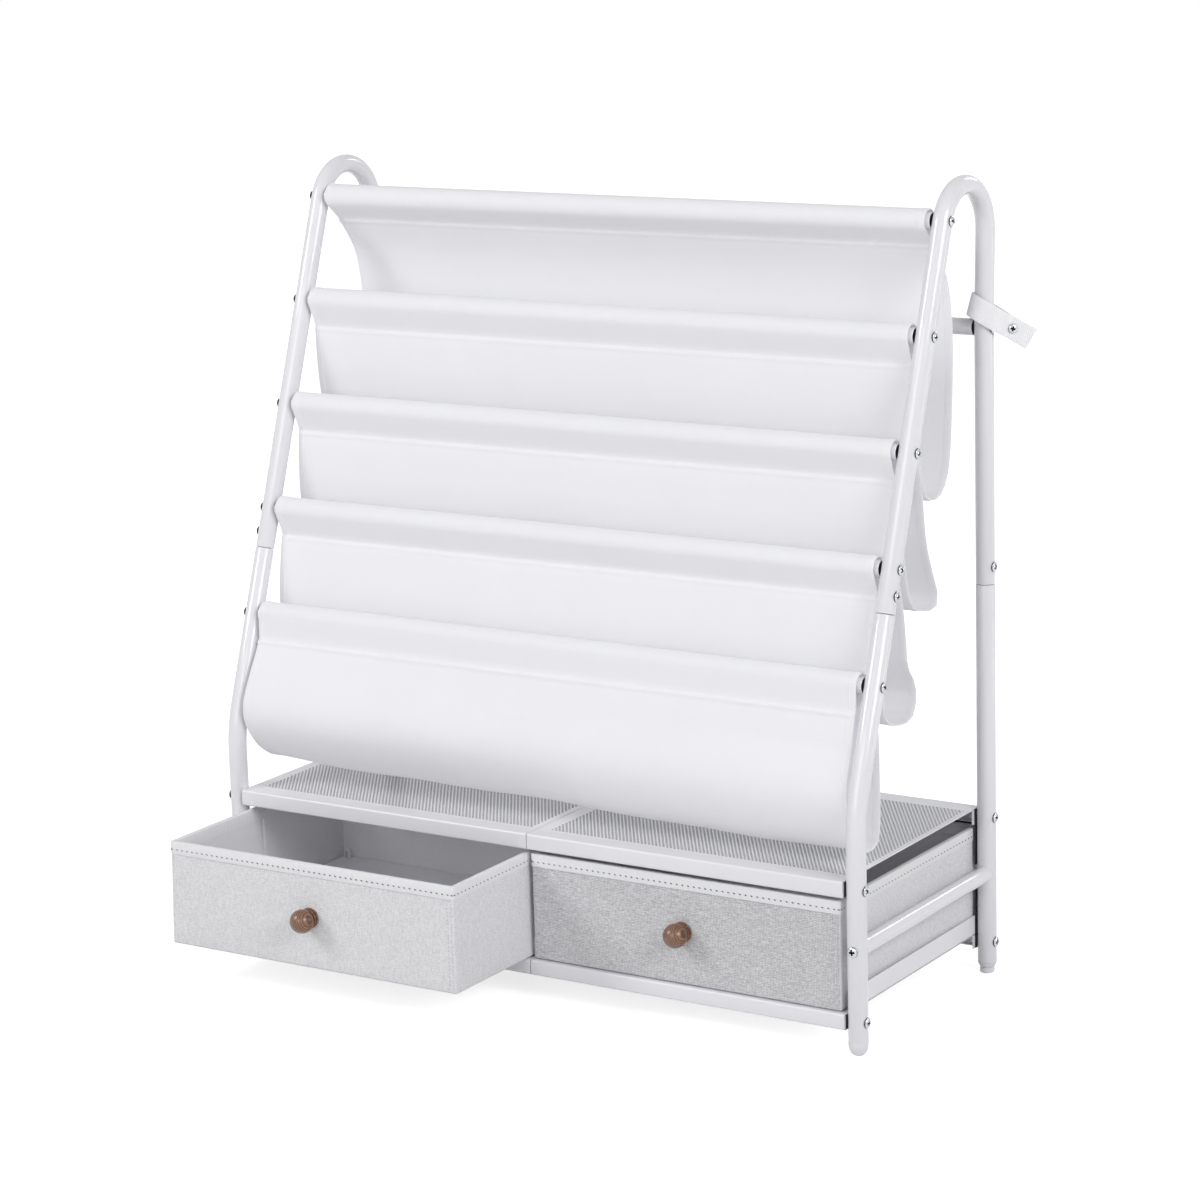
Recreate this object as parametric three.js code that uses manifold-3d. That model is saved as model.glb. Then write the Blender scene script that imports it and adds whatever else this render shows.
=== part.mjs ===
// Children's sling bookshelf: two bent steel side frames carry five rods, and one sheet of white cloth
// hangs over the rods in four pockets. Below it a sheet steel deck and tray hold two fabric drawers.
// Millimetres, +Z up, +X to the right, the front faces -Y. While it is built, Y is zero on the axes of
// the lower front legs; the finished group is moved so that its base centre is the origin.

import * as THREE from 'three';
import { mergeVertices } from 'three/addons/utils/BufferGeometryUtils.js';
import Module from 'manifold-3d';

const wasm = await Module();
wasm.setup();

// Side frames
const frameWidth = 831.4; // between the leg axes
const legDiameter = 22;
const legWall = 1.5;
const legSlant = THREE.MathUtils.degToRad(19.36); // of the upper front leg, from upright
const slantStartHeight = 268; // where the slanted axis meets the upright one
const hairpinRadius = 53.4;
const rearFlare = THREE.MathUtils.degToRad(2.4); // of the rear leg's top, backwards
const flareRise = 14; // from the rear rod's axis up to where the flare starts
const bendStartDrop = 1.9; // from the top rod's axis down to where the slant ends and the bend starts
const lowerBendRadius = 160;
const frontJointDrop = 46; // from the second lowest rod's axis down to the joint line
const rearJointHeight = 457.5;
const neckLength = 35; // of a lower tube's drawn-in end, inside the upper tube
const neckOverlap = 3;
const neckWall = 2;
const jointScrewRise = 20; // from the joint line up to its screw

// Cross rods and side rails
const rodDiameter = 19;
const rodWall = 1.2;
const rodCount = 5;
const rodPitch = 126.45; // along the slanted leg
const lowestRodRise = 203.6; // above the deck
const rearRodDrop = 109.2; // below the centre of the hairpin bend
const railHeight = 118.65;
const insertLength = 18;
const railInsertInset = 2;

// Feet
const footPlugLength = 16;
const frontFootHeight = 14;
const frontFootFlatRadius = 4.2;
const rearFootHeight = 13;
const rearPadHeight = 6.2;
const rearPadRadius = 8.4;
const rearPadEdge = 1.6;
const padGrooveHeight = 0.8;
const padGrooveDepth = 0.9;

// Sheet steel deck and tray
const sheetThickness = 1.2;
const foldRadius = 2;
const hemWidth = 7;
const lipOverhang = 10.4; // from the front leg's axis to the lip's face, and from the rear leg's
const rearLipOverhang = 7.2;
const deckTopHeight = 195.1;
const deckLipHeight = 18.7;
const trayTopHeight = 46;
const trayLipHeight = 17.8;
const traySideFlange = 18;
const flangeInset = 12; // the side flanges stop this far behind the front lip
const tabWidth = 20;
const deckScrewDrop = 9.7; // from the sheet's top to its corner screws
const trayScrewDrop = 8.5;

// Fasteners
const screwDiameter = 6;
const headDiameter = 12;
const headHeight = 3;
const screwBite = 14; // how deep a screw goes into its insert
const jointScrewReach = 6;
const bushDiameter = 10; // of the threaded bushes in the panels' corner tabs
const bushLength = 7;

// Cloth
const clothSideGap = 4.7; // from the cloth's edge to the legs
const clothThickness = 1.2;
const stitchDrop = 32; // from a rod's axis to the seam below it
const seamOverlap = 4; // of a pocket's cloth on its casing
const pocketReach = 97; // how far a pocket goes behind its front rod
const pocketFloorGap = 14.6; // from the front pocket's lowest cloth to the deck
const topTailLean = THREE.MathUtils.degToRad(27);
const frontTailLean = THREE.MathUtils.degToRad(-25);

// Drawers
const drawerSidePlay = 3.95; // between the binding and the tray's side flange
const drawerShortness = 5.8; // how much shorter a drawer is than the frame is deep
const drawerHeadroom = 5.2; // below the deck's lip
const drawerSetback = 5; // of a closed drawer's face behind the lips' faces
const drawerPull = 148; // how far the left drawer stands open
const drawerCorner = 4;
const shellThickness = 1;
const liningThickness = 3.2; // inner cloth with a stiff board sewn behind it
const bindingThickness = 0.8;
const bindingHeight = 14.5;
const baseBoardThickness = 2.5;
const baseBoardClearance = 1.5;
const pullTabWidth = 5;
const pullTabHeight = 13;
const pullTabThickness = 1;
const pullTabInset = 9;
const knobHeight = 108; // of its axis above the floor
const knobLength = 29.8;
const knobBallDiameter = 27.4;
const knobBaseDiameter = 23.6;
const knobScrewDiameter = 4;
const knobScrewDepth = 14;
const collarDiameter = 12;
const collarThickness = 1;
const knobHeadDiameter = 8;
const knobHeadHeight = 2.6;

// Webbing strap on the right rear leg
const webbingWidth = 25;
const webbingThickness = 1.7;
const strapRise = 17.5; // of the loop above the rear rod's axis
const strapTurn = THREE.MathUtils.degToRad(32.7); // of the tail, from +X towards the back
const strapDroop = THREE.MathUtils.degToRad(31.5);
const loopHalfWidth = 13.4;
const loopStraight = 17;
const loopBack = 4.2;
const uprightShare = 0.5; // how far the loop's edges turn from square with the tail to upright
const tailStart = 31;
const tailEnd = 61;
const strapScrewPlace = 37;
const strapScrewDiameter = 4;
const strapScrewLength = 25;
const strapHeadDiameter = 8.6;
const strapHeadHeight = 2.4;

// Clearances
const fitGap = 0.3;
const cutOverrun = 1;

// Facets
const legSides = 14;
const neckSides = 10;
const rodSides = 14;
const insertSides = 8;
const holeSides = 8;
const headSides = 8;
const footSides = 12;
const footDomeSteps = 4;
const hairpinSteps = 10;
const lowerBendSteps = 3;
const foldSteps = 2;
const clothSteps = 26;
const easedSteps = 4; // across the width of the front pocket
const knobSides = 14;
const drawerCornerSteps = 2;
const strapLoopSteps = 6;

// The cloth of each pocket from the seam above to the seam of its front rod, top pocket first:
// how far behind the front rod, as a share of the reach, and how far below it, as a share of the drop
const pocketShares = [
  [[0.86, -0.27], [0.98, 0.01], [0.99, 0.30], [0.94, 0.67], [0.86, 0.87], [0.68, 0.98],
    [0.44, 1.00], [0.25, 0.94], [0.14, 0.72], [0.06, 0.41]],
  [[0.42, -0.35], [0.46, -0.07], [0.61, 0.30], [0.70, 0.59], [0.86, 0.80], [0.99, 0.94],
    [0.92, 1.00], [0.66, 0.99], [0.36, 0.93], [0.22, 0.72], [0.09, 0.41]],
  [[0.40, -0.33], [0.41, -0.02], [0.57, 0.28], [0.64, 0.52], [0.67, 0.65], [0.82, 0.76],
    [0.87, 0.86], [0.76, 0.96], [0.48, 0.97], [0.14, 0.90], [0.09, 0.70], [0.05, 0.41]],
  [[0.38, -0.37], [0.31, -0.09], [0.35, 0.15], [0.41, 0.35], [0.43, 0.66], [0.41, 0.92],
    [0.31, 1.00], [0.04, 1.00], [-0.22, 0.92], [-0.39, 0.82], [-0.51, 0.71], [-0.54, 0.61],
    [-0.49, 0.50], [-0.29, 0.30]],
];
const bellyEaseShare = 0.3; // how much flatter the front pocket's belly is at its right end
const bellyLiftShare = 0.045; // how much less it hangs down at its left end

// A button head's profile from its seat up: radius as a share of the head's, height as a share of its own
const headShares = [[1, 0], [1, 0.3], [0.7, 0.85], [0, 1]];

// A turned knob's two base rings and its neck: radius as a share of the base's, place as a share of the length
const knobBaseShares = [
  [1, 0], [1, 0.09], [0.88, 0.11], [0.95, 0.13], [0.95, 0.21], [0.78, 0.235],
];
const knobBallSteps = 7;
const knobBallStartShare = 0.72; // where the ball leaves the neck, as a share of half a turn

// Sizes that follow from the ones above
const legRadius = legDiameter / 2;
const rodRadius = rodDiameter / 2;
const screwRadius = screwDiameter / 2;
const holeRadius = screwRadius + fitGap;
const legX = frameWidth / 2;
const innerLegX = legX - legRadius;
const deckHalfWidth = innerLegX - fitGap;
const slantDirection = new THREE.Vector3(0, Math.sin(legSlant), Math.cos(legSlant));

// The slanted leg's axis at a height
function slantPoint(x, height) {
  return new THREE.Vector3(x, (height - slantStartHeight) * Math.tan(legSlant), height);
}

// The heights of the cloth's rods, top one first
const lowestRodHeight = deckTopHeight + lowestRodRise;
const rodHeights = [];
for (let i = rodCount - 1; i >= 0; i -= 1) {
  rodHeights.push(lowestRodHeight + i * rodPitch * Math.cos(legSlant));
}
const frontJointHeight = rodHeights[rodCount - 2] - frontJointDrop;

// The hairpin bend touches the slant in front and the flared leg behind, which gives the rear leg its place
const towardsBend = new THREE.Vector3(0, Math.cos(legSlant), -Math.sin(legSlant));
const bendCentre = slantPoint(0, rodHeights[0] - bendStartDrop).addScaledVector(towardsBend, hairpinRadius);
const rearRodHeight = bendCentre.z - rearRodDrop;
const flareHeight = rearRodHeight + flareRise;
const flareReach = (bendCentre.z - flareHeight) * Math.tan(rearFlare);
const frameDepth = bendCentre.y + hairpinRadius / Math.cos(rearFlare) - flareReach;

const clothWidth = 2 * (innerLegX - clothSideGap);
const pocketDrop = lowestRodRise - pocketFloorGap;
const floorOfDrawer = trayTopHeight + fitGap;
const drawerTopHeight = deckTopHeight - deckLipHeight - drawerHeadroom;
const drawerDepth = frameDepth - drawerShortness;
const rimOutset = fitGap + bindingThickness;
const drawerWidth = deckHalfWidth - 2 * sheetThickness - 1.5 * fitGap - 2 * rimOutset - drawerSidePlay;
const drawerX = sheetThickness + 1.5 * fitGap + rimOutset + drawerWidth / 2;
const closedFaceY = -lipOverhang + drawerSetback;

// Colours, roughness and metalness as the photograph shows them
function material(color, roughness, metalness) {
  return new THREE.MeshStandardMaterial({ color, roughness, metalness });
}
const finish = {
  paint: () => material(0xefeff2, 0.35, 0),
  sheetPaint: () => material(0xecebef, 0.45, 0),
  zinc: () => material(0xc4c4c6, 0.3, 1),
  plastic: () => material(0xe9e9ec, 0.5, 0),
  canvas: () => material(0xe9e9eb, 0.9, 0),
  linen: () => material(0xd2d2d4, 0.95, 0),
  lining: () => material(0xb9b9bb, 0.95, 0),
  binding: () => material(0xe4e4e6, 0.9, 0),
  baseCloth: () => material(0xc0c0c2, 0.95, 0),
  beech: () => material(0xa3805f, 0.55, 0),
  webbing: () => material(0xe2e2e6, 0.9, 0),
};

const shelf = new THREE.Group();

// Adds one named piece
function add(name, geometry, look) {
  const mesh = new THREE.Mesh(geometry, look());
  mesh.name = name;
  shelf.add(mesh);
}

// Positions only, with shared vertices merged
function welded(geometry) {
  const bare = geometry.clone();
  bare.deleteAttribute('normal');
  bare.deleteAttribute('uv');
  return mergeVertices(bare);
}

// A closed geometry as a solid that can be joined and cut
function toSolid(geometry) {
  const closed = welded(geometry);
  const corners = closed.index.array;
  const triangles = [];
  for (let i = 0; i < corners.length; i += 3) {
    const [a, b, c] = [corners[i], corners[i + 1], corners[i + 2]];
    if (a !== b && b !== c && c !== a) {
      triangles.push(a, b, c);
    }
  }
  return new wasm.Manifold(new wasm.Mesh({
    numProp: 3,
    vertProperties: new Float32Array(closed.attributes.position.array),
    triVerts: new Uint32Array(triangles),
  }));
}

function toGeometry(solid) {
  const mesh = solid.getMesh();
  const geometry = new THREE.BufferGeometry();
  geometry.setAttribute('position', new THREE.BufferAttribute(mesh.vertProperties, 3));
  geometry.setIndex(new THREE.BufferAttribute(mesh.triVerts, 1));
  return geometry;
}

// The first piece with the others joined on
function joined(geometry, additions) {
  return toGeometry(additions.reduce((solid, extra) => solid.add(toSolid(extra)), toSolid(geometry)));
}

// The piece with every cutter taken away
function drilled(geometry, cutters) {
  return toGeometry(cutters.reduce((solid, cutter) => solid.subtract(toSolid(cutter)), toSolid(geometry)));
}

// A geometry made along +Z, turned to a direction and moved to a point
function pointed(geometry, direction, point) {
  const turn = new THREE.Quaternion().setFromUnitVectors(new THREE.Vector3(0, 0, 1), direction);
  return geometry.applyQuaternion(turn).translate(point.x, point.y, point.z);
}

// A profile of [radius, height] turned about +Z
function turned(profile, sides) {
  const points = profile.map(([radius, height]) => new THREE.Vector2(radius, height));
  return new THREE.LatheGeometry(points, sides).rotateX(Math.PI / 2);
}

// A solid round bar along +Z from zero to its length
function roundBar(radius, length, sides) {
  return turned([[0, 0], [radius, 0], [radius, length], [0, length]], sides);
}

// A round bar between two points
function barBetween(start, end, radius, sides) {
  const run = end.clone().sub(start);
  return pointed(roundBar(radius, run.length(), sides), run.clone().normalize(), start);
}

// The outline of a tube's section
function ringShape(outerRadius, innerRadius) {
  const shape = new THREE.Shape();
  shape.absarc(0, 0, outerRadius, 0, 2 * Math.PI, false);
  const bore = new THREE.Path();
  bore.absarc(0, 0, innerRadius, 0, 2 * Math.PI, true);
  shape.holes.push(bore);
  return shape;
}

// A straight tube along +Z from zero to its length
function straightTube(outerRadius, innerRadius, length, sides) {
  return new THREE.ExtrudeGeometry(ringShape(outerRadius, innerRadius), {
    depth: length,
    bevelEnabled: false,
    curveSegments: sides / 2,
  });
}

// A path through stations that each hold a point and a direction, so that a straight run is one step
class StationPath extends THREE.Curve {
  constructor(stations) {
    super();
    this.stations = stations;
  }

  station(share) {
    return this.stations[Math.round(share * (this.stations.length - 1))];
  }

  getPointAt(share, target = new THREE.Vector3()) {
    return target.copy(this.station(share).point);
  }

  getTangentAt(share, target = new THREE.Vector3()) {
    return target.copy(this.station(share).direction);
  }
}

// Stations of a bend in a side frame's plane, its angles measured from +Y towards +Z
function bendStations(x, centreY, centreZ, radius, startAngle, endAngle, steps) {
  const way = Math.sign(endAngle - startAngle);
  const stations = [];
  for (let i = 0; i <= steps; i += 1) {
    const angle = startAngle + (endAngle - startAngle) * i / steps;
    const [cosine, sine] = [Math.cos(angle), Math.sin(angle)];
    stations.push({
      point: new THREE.Vector3(x, centreY + radius * cosine, centreZ + radius * sine),
      direction: new THREE.Vector3(0, -sine * way, cosine * way),
    });
  }
  return stations;
}

function tubeThrough(stations) {
  return new THREE.ExtrudeGeometry(ringShape(legRadius, legRadius - legWall), {
    steps: stations.length - 1,
    curveSegments: legSides / 2,
    extrudePath: new StationPath(stations),
  });
}

// A hole for a screw that runs along X, from inside the frame out through the leg
function crossHole(side, y, z, startX) {
  const start = new THREE.Vector3(side * startX, y, z);
  const end = new THREE.Vector3(side * (legX + legRadius + cutOverrun), y, z);
  return barBetween(start, end, holeRadius, holeSides);
}

// The heights of the screws in the deck's and the tray's corners
const panelScrewHeights = [deckTopHeight - deckScrewDrop, trayTopHeight - trayScrewDrop];

const frontJointScrew = slantPoint(legX, frontJointHeight).addScaledVector(slantDirection, jointScrewRise);
const rearJointScrewHeight = rearJointHeight + jointScrewRise;

// Upper half of a side frame: slanted front leg, hairpin bend and rear leg in one tube
function hairpinTube(side) {
  const x = side * legX;
  const down = new THREE.Vector3(0, 0, -1);
  const tube = tubeThrough([
    { point: slantPoint(x, frontJointHeight), direction: slantDirection },
    ...bendStations(
      x, bendCentre.y, bendCentre.z, hairpinRadius, Math.PI - legSlant, -rearFlare, hairpinSteps,
    ),
    { point: new THREE.Vector3(x, frameDepth, flareHeight), direction: down },
    { point: new THREE.Vector3(x, frameDepth, rearJointHeight), direction: down },
  ]);
  const through = innerLegX - cutOverrun;
  const rodHoles = rodHeights
    .filter((height) => height > frontJointHeight)
    .map((height) => crossHole(side, slantPoint(x, height).y, height, through));
  return drilled(tube, [
    ...rodHoles,
    crossHole(side, frameDepth, rearRodHeight, through),
    crossHole(side, frontJointScrew.y, frontJointScrew.z, legX),
    crossHole(side, frameDepth, rearJointScrewHeight, legX),
  ]);
}

// The drawn-in end of a lower tube, which slides into the upper tube
function drawnNeck(top, upwards) {
  const radius = legRadius - legWall - fitGap;
  const collar = straightTube(legRadius - legWall / 2, radius - neckWall, neckOverlap, neckSides);
  const neck = straightTube(radius, radius - neckWall, neckOverlap + neckLength, neckSides);
  const start = top.clone().addScaledVector(upwards, -neckOverlap);
  return [pointed(collar, upwards, start), pointed(neck, upwards, start)];
}

// Lower front leg: goes on down the slant, then bends upright
function frontLeg(side) {
  const x = side * legX;
  const start = slantPoint(x, frontJointHeight).addScaledVector(slantDirection, -fitGap);
  const tangentLength = lowerBendRadius * Math.tan(legSlant / 2);
  const bendEndZ = slantStartHeight - tangentLength;
  const tube = tubeThrough([
    { point: start, direction: slantDirection.clone().negate() },
    ...bendStations(x, lowerBendRadius, bendEndZ, lowerBendRadius, Math.PI - legSlant, Math.PI, lowerBendSteps),
    { point: new THREE.Vector3(x, 0, frontFootHeight + fitGap), direction: new THREE.Vector3(0, 0, -1) },
  ]);
  const through = innerLegX - cutOverrun;
  const railStart = new THREE.Vector3(x, -legRadius - cutOverrun, railHeight);
  const railEnd = new THREE.Vector3(x, legRadius + cutOverrun, railHeight);
  return drilled(joined(tube, drawnNeck(start, slantDirection)), [
    crossHole(side, frontJointScrew.y, frontJointScrew.z, legX),
    crossHole(side, slantPoint(x, lowestRodHeight).y, lowestRodHeight, through),
    ...panelScrewHeights.map((height) => crossHole(side, 0, height, through)),
    barBetween(railStart, railEnd, holeRadius, holeSides),
  ]);
}

// Lower rear leg: straight and upright
function rearLeg(side) {
  const x = side * legX;
  const bottom = rearFootHeight + fitGap;
  const length = rearJointHeight - fitGap - bottom;
  const tube = straightTube(legRadius, legRadius - legWall, length, legSides).translate(x, frameDepth, bottom);
  const through = innerLegX - cutOverrun;
  const railStart = new THREE.Vector3(x, frameDepth - legRadius - cutOverrun, railHeight);
  const railEnd = new THREE.Vector3(x, frameDepth + legRadius + cutOverrun, railHeight);
  const top = new THREE.Vector3(x, frameDepth, bottom + length);
  return drilled(joined(tube, drawnNeck(top, new THREE.Vector3(0, 0, 1))), [
    crossHole(side, frameDepth, rearJointScrewHeight, legX),
    ...panelScrewHeights.map((height) => crossHole(side, frameDepth, height, through)),
    barBetween(railStart, railEnd, holeRadius, holeSides),
  ]);
}

// A threaded insert fixed in a tube's end, from its outer end inwards
function endInsert(point, inwards) {
  const insert = straightTube(rodRadius - rodWall / 2, holeRadius, insertLength, insertSides);
  return pointed(insert, inwards, point);
}

// Side rail: a tube from leg to leg whose ends are cut to the round of the legs
function sideRail(side) {
  const start = new THREE.Vector3(side * legX, 0, railHeight);
  const along = new THREE.Vector3(0, 1, 0);
  const tube = pointed(straightTube(rodRadius, rodRadius - rodWall, frameDepth, rodSides), along, start);
  const [nearY, farY] = [legRadius + railInsertInset, frameDepth - legRadius - railInsertInset];
  const inserts = [
    endInsert(new THREE.Vector3(side * legX, nearY, railHeight), along),
    endInsert(new THREE.Vector3(side * legX, farY, railHeight), along.clone().negate()),
  ];
  const copes = [0, frameDepth].map((y) => {
    const low = new THREE.Vector3(side * legX, y, railHeight - rodDiameter);
    const high = new THREE.Vector3(side * legX, y, railHeight + rodDiameter);
    return barBetween(low, high, legRadius + fitGap, legSides);
  });
  return drilled(joined(tube, inserts), copes);
}

// A cross rod: a straight tube cut square where it meets the legs, with a threaded insert in each end
const rearRodPlace = new THREE.Vector3(0, frameDepth, rearRodHeight);

function crossRod(place) {
  const rightwards = new THREE.Vector3(1, 0, 0);
  const [leftEnd, rightEnd] = [-1, 1].map((side) => new THREE.Vector3(side * deckHalfWidth, place.y, place.z));
  const tube = pointed(
    straightTube(rodRadius, rodRadius - rodWall, 2 * deckHalfWidth, rodSides), rightwards, leftEnd,
  );
  return joined(tube, [endInsert(leftEnd, rightwards), endInsert(rightEnd, rightwards.clone().negate())]);
}

// A button head screw: its head's seat at a point, its head towards outwards
function screw(seat, outwards, length) {
  const head = headShares.map(([wide, high]) => [wide * headDiameter / 2, high * headHeight]);
  const profile = [[0, -length], [screwRadius, -length], [screwRadius, 0], ...head];
  return pointed(turned(profile, headSides), outwards, seat);
}

// The seat of a screw that goes through a leg along X
function legSeat(side, y, z) {
  return new THREE.Vector3(side * (legX + legRadius + fitGap), y, z);
}

const throughLeg = legDiameter + 2 * fitGap;

// A left and a right screw that go inwards through the legs
function addScrewPair(name, place, length) {
  for (const [end, side] of [['left', -1], ['right', 1]]) {
    const outwards = new THREE.Vector3(side, 0, 0);
    add(`${name}_${end}`, screw(legSeat(side, place.y, place.z), outwards, length), finish.zinc);
  }
}

// A threaded bush riveted into a panel's corner tab
function tabBush(point, onwards) {
  const bush = straightTube(bushDiameter / 2, holeRadius, bushLength, insertSides);
  return pointed(bush, onwards, point);
}

// Foot of a front leg: a plug in the tube over a dome with a flat bottom
function frontFoot() {
  const plugRadius = legRadius - legWall - fitGap;
  const dome = new THREE.EllipseCurve(
    frontFootFlatRadius, frontFootHeight, legRadius - frontFootFlatRadius, frontFootHeight,
    -Math.PI / 2, 0, false, 0,
  ).getPoints(footDomeSteps).map((point) => [point.x, point.y]);
  return turned([
    [0, 0],
    ...dome,
    [plugRadius, frontFootHeight],
    [plugRadius, frontFootHeight + footPlugLength],
    [0, frontFootHeight + footPlugLength],
  ], footSides);
}

// Foot of a rear leg: the tube's drawn-in shoulder, a groove and a narrower pad
function rearFoot() {
  const plugRadius = legRadius - legWall - fitGap;
  const grooveRadius = rearPadRadius - padGrooveDepth;
  const shoulderHeight = rearPadHeight + padGrooveHeight;
  return turned([
    [0, 0],
    [rearPadRadius - rearPadEdge, 0],
    [rearPadRadius, rearPadEdge],
    [rearPadRadius, rearPadHeight],
    [grooveRadius, rearPadHeight],
    [grooveRadius, shoulderHeight],
    [rearPadRadius, shoulderHeight],
    [legRadius, rearFootHeight],
    [plugRadius, rearFootHeight],
    [plugRadius, rearFootHeight + footPlugLength],
    [0, rearFootHeight + footPlugLength],
  ], footSides);
}

// The outline of a band of even thickness along a line of points
function ribbonShape(line, thickness) {
  const left = [];
  const right = [];
  line.forEach((point, i) => {
    const before = line[Math.max(i - 1, 0)];
    const after = line[Math.min(i + 1, line.length - 1)];
    const runIn = point.clone().sub(i > 0 ? before : after).normalize();
    const runOut = after.clone().sub(i < line.length - 1 ? point : before).normalize();
    if (i === 0) {
      runIn.negate();
    }
    const along = runIn.clone().add(runOut).normalize();
    const stretch = thickness / 2 / along.dot(runOut);
    const normal = new THREE.Vector2(-along.y, along.x).multiplyScalar(stretch);
    left.push(point.clone().add(normal));
    right.push(point.clone().sub(normal));
  });
  return new THREE.Shape([...left, ...right.reverse()]);
}

// A line of points with its inner corners rounded
function roundedLine(points, radius) {
  const line = [points[0]];
  for (let i = 1; i < points.length - 1; i += 1) {
    const start = points[i].clone().add(points[i - 1].clone().sub(points[i]).setLength(radius));
    const end = points[i].clone().add(points[i + 1].clone().sub(points[i]).setLength(radius));
    line.push(...new THREE.QuadraticBezierCurve(start, points[i], end).getPoints(foldSteps));
  }
  line.push(points[points.length - 1]);
  return line;
}

// A shape drawn in Y and Z, extruded along X between two places
function acrossX(shape, startX, endX, steps = 1) {
  const turn = new THREE.Matrix4().makeBasis(
    new THREE.Vector3(0, 1, 0), new THREE.Vector3(0, 0, 1), new THREE.Vector3(1, 0, 0),
  );
  const body = new THREE.ExtrudeGeometry(shape, { depth: endX - startX, steps, bevelEnabled: false });
  return body.applyMatrix4(turn).translate(startX, 0, 0);
}

// A box between two corners
function boxBetween(low, high) {
  const size = high.clone().sub(low);
  const middle = low.clone().add(high).multiplyScalar(0.5);
  return new THREE.BoxGeometry(size.x, size.y, size.z).translate(middle.x, middle.y, middle.z);
}

// The folded sheet that the deck and the tray share: lips turned down and hemmed in, corner tabs with holes,
// and threaded bushes in the tabs beside the legs
function foldedPanel(side, topHeight, lipHeight, screwHeight) {
  const half = sheetThickness / 2;
  const frontY = -lipOverhang + half;
  const rearY = frameDepth + rearLipOverhang - half;
  const top = topHeight - half;
  const bottom = topHeight - lipHeight + half;
  const line = roundedLine([
    new THREE.Vector2(frontY + hemWidth, bottom),
    new THREE.Vector2(frontY, bottom),
    new THREE.Vector2(frontY, top),
    new THREE.Vector2(rearY, top),
    new THREE.Vector2(rearY, bottom),
    new THREE.Vector2(rearY - hemWidth, bottom),
  ], foldRadius);
  const seamX = fitGap / 2;
  const [startX, endX] = side > 0 ? [seamX, deckHalfWidth] : [-deckHalfWidth, -seamX];
  const sheet = acrossX(ribbonShape(line, sheetThickness), startX, endX);
  const outerTabX = side > 0 ? endX - sheetThickness : startX;
  const inwards = new THREE.Vector3(-side, 0, 0);
  const tabs = [];
  const holes = [];
  for (const tabX of [startX, endX - sheetThickness]) {
    for (const [lowY, highY, screwY] of [[frontY, frontY + tabWidth, 0], [rearY - tabWidth, rearY, frameDepth]]) {
      const low = new THREE.Vector3(tabX, lowY, bottom);
      const high = new THREE.Vector3(tabX + sheetThickness, highY, top);
      tabs.push(boxBetween(low, high));
      if (tabX === outerTabX) {
        tabs.push(tabBush(new THREE.Vector3(tabX + half, screwY, screwHeight), inwards));
      }
      const start = new THREE.Vector3(tabX - cutOverrun, screwY, screwHeight);
      const end = new THREE.Vector3(tabX + sheetThickness + cutOverrun, screwY, screwHeight);
      holes.push(barBetween(start, end, holeRadius, holeSides));
    }
  }
  return { sheet: joined(sheet, tabs), holes, startX, endX, rearY, top };
}

function deckPanel(side) {
  const panel = foldedPanel(side, deckTopHeight, deckLipHeight, panelScrewHeights[0]);
  return drilled(panel.sheet, panel.holes);
}

// The tray's panel also has flanges turned up beside the drawer
function trayPanel(side) {
  const panel = foldedPanel(side, trayTopHeight, trayLipHeight, panelScrewHeights[1]);
  const startY = -lipOverhang + flangeInset;
  const flanges = [panel.startX, panel.endX - sheetThickness].map((x) => boxBetween(
    new THREE.Vector3(x, startY, panel.top),
    new THREE.Vector3(x + sheetThickness, panel.rearY - foldRadius, trayTopHeight + traySideFlange),
  ));
  return drilled(joined(panel.sheet, flanges), panel.holes);
}

// Where the cloth leaves the seam below a rod, as a point in Y and Z and the way that the seam hangs
function seamBelow(index) {
  const rod = slantPoint(0, rodHeights[index]);
  const lean = index === 0 ? topTailLean : index === rodCount - 1 ? frontTailLean : 0;
  const hang = new THREE.Vector2(Math.sin(lean), -Math.cos(lean));
  const point = new THREE.Vector2(rod.y, rod.z).addScaledVector(hang, stitchDrop);
  return { rod: new THREE.Vector2(rod.y, rod.z), hang, point, lean };
}

// The casing sewn round a rod: a loop that closes into two flat layers down to the seam
function clothCasing(index) {
  const { rod, hang, lean } = seamBelow(index);
  const layers = clothThickness + fitGap / 2;
  const outer = rodRadius + fitGap + clothThickness;
  const inner = rodRadius + fitGap;
  const closeDrop = (outer + stitchDrop) / 2;
  const hangAngle = -Math.PI / 2 + lean;
  const across = new THREE.Vector2(-hang.y, hang.x);
  const at = (sideways, down) => rod.clone().addScaledVector(across, sideways).addScaledVector(hang, down);
  const half = Math.PI - Math.asin(outer / closeDrop);
  const shape = new THREE.Shape();
  const [leftLow, rightLow] = [at(-layers, stitchDrop), at(layers, stitchDrop)];
  const [leftClose, rightClose] = [at(-layers, closeDrop), at(layers, closeDrop)];
  shape.moveTo(leftLow.x, leftLow.y);
  shape.lineTo(rightLow.x, rightLow.y);
  shape.lineTo(rightClose.x, rightClose.y);
  shape.absarc(rod.x, rod.y, outer, hangAngle + Math.PI - half, hangAngle + Math.PI + half, false);
  shape.lineTo(leftClose.x, leftClose.y);
  const bore = new THREE.Path();
  bore.absarc(rod.x, rod.y, inner, 0, 2 * Math.PI, true);
  shape.holes.push(bore);
  return shape;
}

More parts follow.
